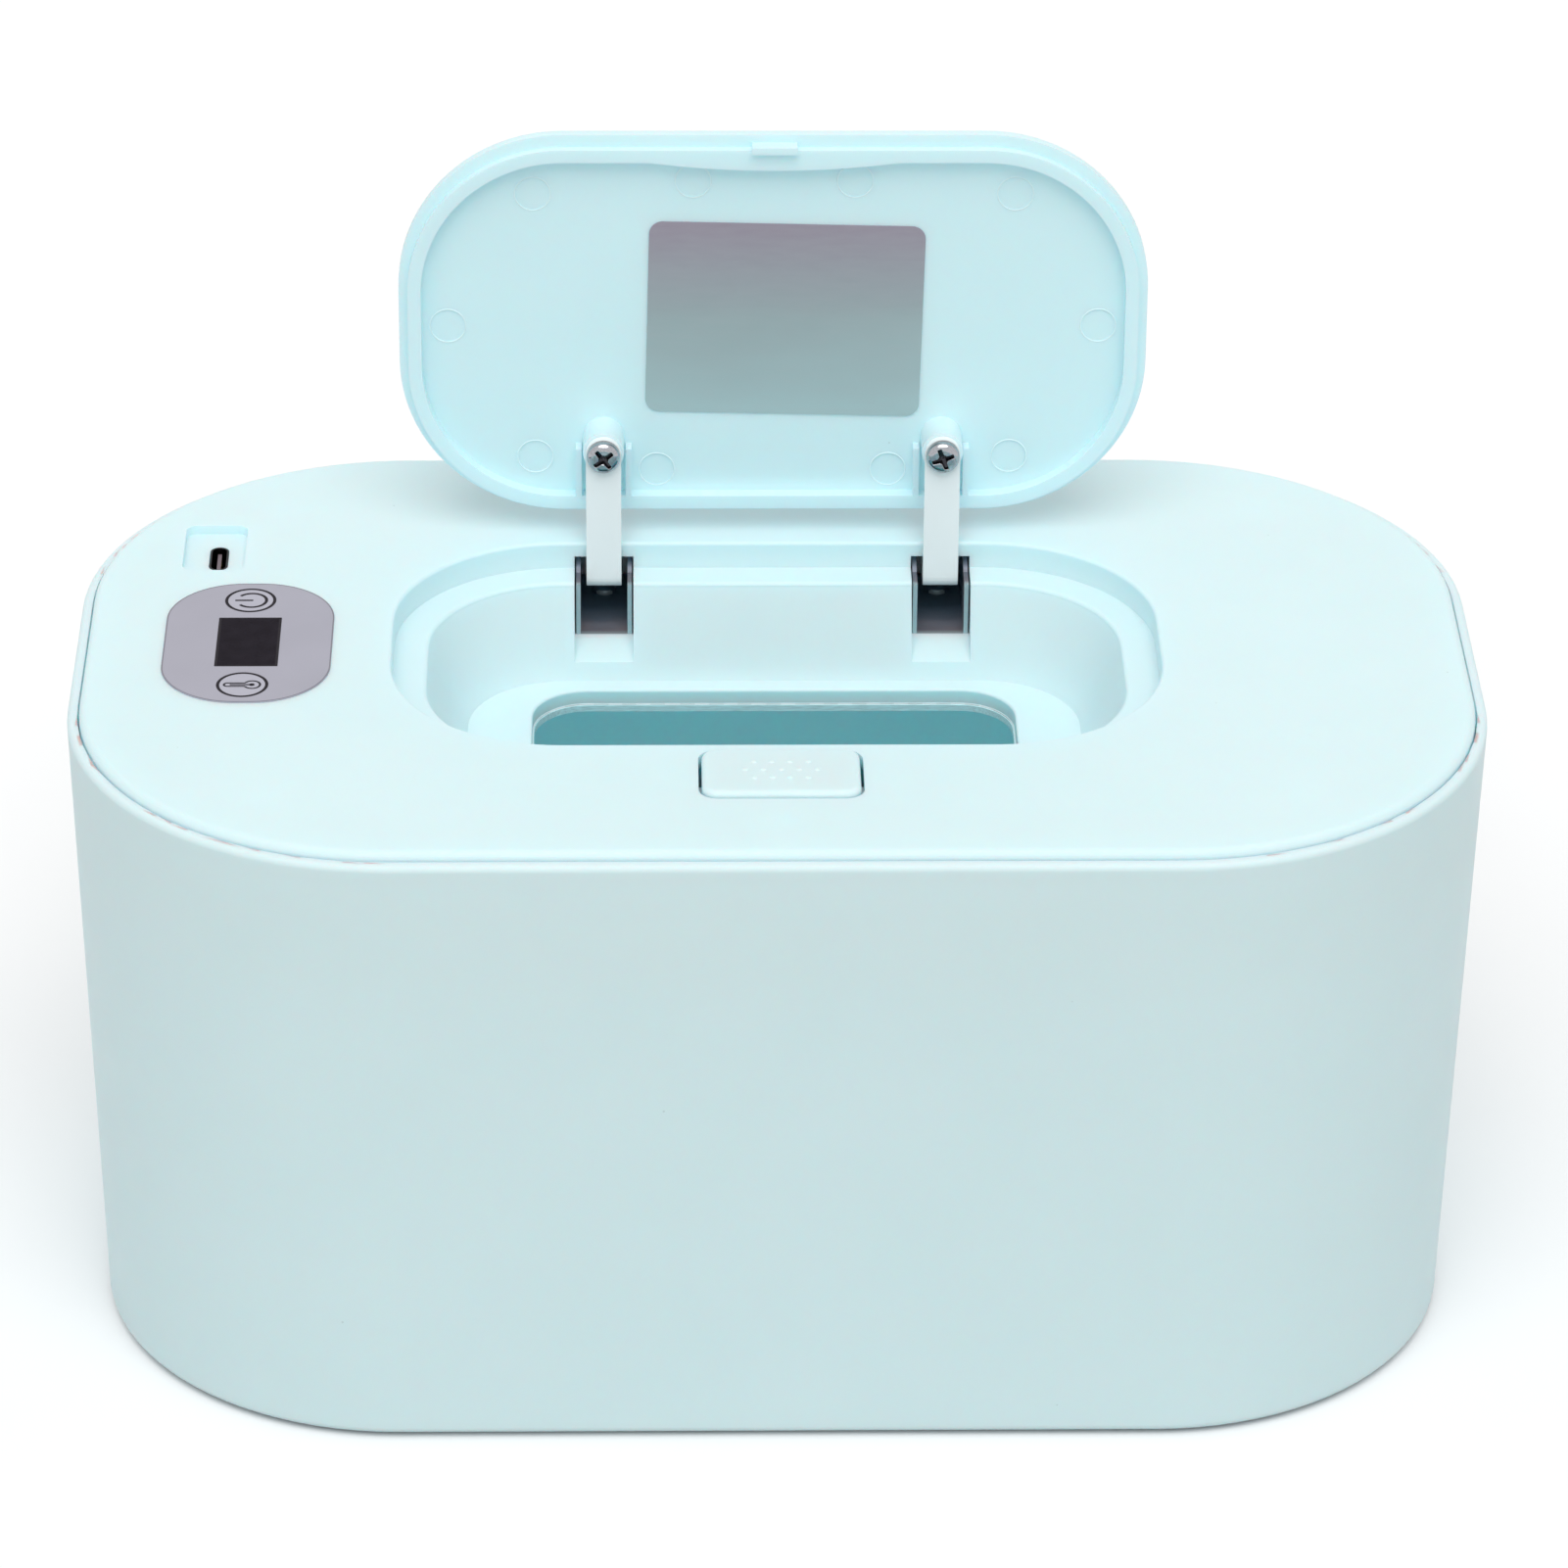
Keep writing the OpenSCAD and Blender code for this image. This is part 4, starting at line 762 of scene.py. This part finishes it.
def recess_depth(x, y):
    """A cross recess: four tapering wings with steep walls, deepest in the middle."""
    depth = 0.0
    for u, v in ((x, y), (y, x)):
        half = WING_HALF - WING_TAPER * abs(u)
        inside = clamped((half - abs(v)) / WING_WALL) * clamped((WING_REACH - abs(u)) / WING_END)
        depth = max(depth, inside * (WING_TIP + WING_FALL * (1.0 - abs(u) / WING_REACH)))
    cone = CONE_DEPTH * (1.0 - math.hypot(x, y) / CONE_R)
    return max(depth, cone, 0.0)


def screw_mesh(bm, place, cross_turn):
    """One pan-head screw with a smooth head and a real cross recess. Its head points along +Z."""
    rings, steps = 56, 144

    def depth_at(r, angle):
        return recess_depth(r * math.cos(angle - cross_turn), r * math.sin(angle - cross_turn))

    def ring_at(r, height):
        angles = [2 * math.pi * j / steps for j in range(steps)]
        return [bm.verts.new(place @ Vector((r * math.cos(a), r * math.sin(a), height(a))))
                for a in angles]

    centre = bm.verts.new(place @ Vector((0, 0, head_height(0) - recess_depth(0, 0))))
    before = None
    for i in range(1, rings + 1):
        r = HEAD_R * i / rings
        ring = ring_at(r, lambda a: head_height(r) - depth_at(r, a))
        if before:
            faces = bridge(bm, before, ring)
        else:
            faces = [bm.faces.new((centre, ring[j], ring[(j + 1) % steps])) for j in range(steps)]
        middle = r - HEAD_R / rings / 2
        for j, face in enumerate(faces):
            depth = depth_at(middle, 2 * math.pi * (j + 0.5) / steps)
            # painted shade: faces deep in the recess take the dark metal
            face.material_index = int(depth > RECESS_SHADE_FROM)
        before = ring
    for r, z in ((HEAD_R, HEAD_FOOT), (SHANK_R, 0.0), (SHANK_R, -SHANK_L)):
        ring = ring_at(r, lambda a: z)
        bridge(bm, before, ring)
        before = ring
    bm.faces.new(before)


def opened(point):
    """Where a point of the closed lid lies while the lid rests open."""
    turn = Matrix.Rotation(-LID_OPEN, 3, "X")
    return PIVOT + turn @ (Vector(point) - PIVOT)


def arm_screw_heads():
    """The two chrome screws that hold the arms to the lid."""
    bm = bmesh.new()
    turn = Matrix.Rotation(-LID_OPEN, 4, "X") @ Matrix.Rotation(math.pi, 4, "X")
    for x, cross_turn in zip((-ARM_X, ARM_X), CROSS_TURNS):
        screw_mesh(bm, Matrix.Translation(opened((x, SCREW_Y, STRAP_Z))) @ turn, cross_turn)
    smooth(bm)
    made = piece("arm_screw_heads", bm, "lid", "steel_screws", palette["steel_screws"],
                 SCREW_RECESS_SHADE)
    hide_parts("arm_screws")


# Where the ejector pins left their rings inside the lid: to each side, and in from its back edge
EJECTOR_MARKS = ((43.5, 62.2), (14.6, 64.7), (59.1, 36.3), (43.4, 10.2), (21.2, 7.6))
EJECTOR_R = 3.1
# The line's section: out from the mark's edge, and up from the lid's inner face
EJECTOR_LINE = ((0.0, -0.05), (0.0, 0.05), (0.09, 0.08), (0.21, 0.08), (0.3, -0.05))


def ejector_rings():
    """The fine raised witness line round each ejector mark, painted paler than the shell as a
    painted highlight.
    """
    bm = bmesh.new()
    steps = 72
    for back_x, back_y in EJECTOR_MARKS:
        for side in (-1, 1):
            loops = []
            for i in range(steps):
                a = 2 * math.pi * i / steps
                loops.append([bm.verts.new(opened((
                    side * back_x + (EJECTOR_R + out) * math.cos(a),
                    LID_BACK - back_y + (EJECTOR_R + out) * math.sin(a),
                    LID_UNDER - up))) for out, up in EJECTOR_LINE])
            for i in range(steps):
                bridge(bm, loops[i], loops[(i + 1) % steps])
    smooth(bm)
    piece("ejector_rings", bm, "lid", "pale_plastic", WITNESS_LINE_HIGHLIGHT)


COIL_STEPS = 28                         # the rings of vertices in each turn of a wire
COIL_SIDES = 10


def coil(bm, base, axis, radius, wire_r, turns, length):
    """A wire wound round an axis, closed at both ends."""
    axis = Vector(axis).normalized()
    side = axis.orthogonal().normalized()
    other = axis.cross(side)
    total = int(turns * COIL_STEPS)
    before = None
    for i in range(total + 1):
        a = 2 * math.pi * turns * i / total
        out = side * math.cos(a) + other * math.sin(a)
        rise = wire_r + (length - 2 * wire_r) * i / total
        centre = Vector(base) + axis * rise + out * radius
        angles = [2 * math.pi * k / COIL_SIDES for k in range(COIL_SIDES)]
        ring = [bm.verts.new(centre + out * (wire_r * math.cos(b)) + axis * (wire_r * math.sin(b)))
                for b in angles]
        if before:
            bridge(bm, before, ring)
        else:
            bm.faces.new(list(reversed(ring)))
        before = ring
    bm.faces.new(before)
    smooth(bm)


def touch_coils():
    """The coil springs that carry the touch of a finger from the label to the board."""
    wire_r, wire_in, turns = 0.24, 0.25, 6
    low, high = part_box("touch_springs")
    bm = bmesh.new()
    radius = (high.x - low.x) / MM / 2
    for y in (low.y / MM + radius, high.y / MM - radius):
        coil(bm, ((low.x + high.x) / 2 / MM, y, low.z / MM), (0, 0, 1), radius - wire_in, wire_r,
             turns, (high.z - low.z) / MM)
    made = piece("touch_coils", bm, "deck", "brass_springs", palette["brass_springs"])
    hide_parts("touch_springs")


def hinge_coils():
    """The wound springs beside each arm's eye."""
    wire_r, radius, turns, width, beside_arm = 0.2, 1.36, 1.5, 0.7, 3.75
    bm = bmesh.new()
    for side in (-1, 1):
        for end in (-1, 1):
            x = side * ARM_X + end * beside_arm - width / 2
            coil(bm, (x, PIVOT.y, PIVOT.z), (1, 0, 0), radius, wire_r, turns, width)
    made = piece("hinge_coils", bm, "deck", "spring_steel", palette["spring_steel"])
    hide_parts("hinge_springs")


def button_coils():
    """The springs under the button, at the height of the CAD springs."""
    wire_r, wire_in, turns = 0.28, 0.3, 5
    low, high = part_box("button_springs")
    bm = bmesh.new()
    radius = (high.y - low.y) / MM / 2
    length = (high.z - low.z) / MM
    for x in (low.x / MM + radius, high.x / MM - radius):
        coil(bm, (x, (low.y + high.y) / 2 / MM, low.z / MM), (0, 0, 1), radius - wire_in, wire_r,
             turns, length)
    made = piece("button_coils", bm, "deck", "spring_steel", palette["spring_steel"])
    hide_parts("button_springs")
    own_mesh(made)


def port_contacts():
    """The row of contacts on each face of the charging port's tongue."""
    pads, pitch, pad_w, pad_t = 12, 0.5, 0.28, 0.04
    long_pads, long, short = (0, 3, 8, 11), 2.6, 2.1
    off_middle, below_top = 0.36, 0.5
    bm = bmesh.new()
    x, y = PORT_CENTRE
    for side in (-1, 1):
        for i in range(pads):
            drop = long if i in long_pads else short
            pad = bmesh.ops.create_cube(bm, size=1.0)["verts"]
            bmesh.ops.scale(bm, vec=(pad_t, pad_w, drop), verts=pad)
            bmesh.ops.translate(bm, vec=(x + side * off_middle, y + (i - (pads - 1) / 2) * pitch,
                                         PORT_TONGUE_TOP - below_top - drop / 2), verts=pad)
    piece("port_contacts", bm, "deck", "brass_springs", palette["brass_springs"])


dress_nodes()
label_print()
display_border()
arm_screw_heads()
ejector_rings()
touch_coils()
hinge_coils()
button_coils()
port_contacts()
add_floor()
add_light()
add_camera()
bpy.context.scene.view_settings.view_transform = "Standard"
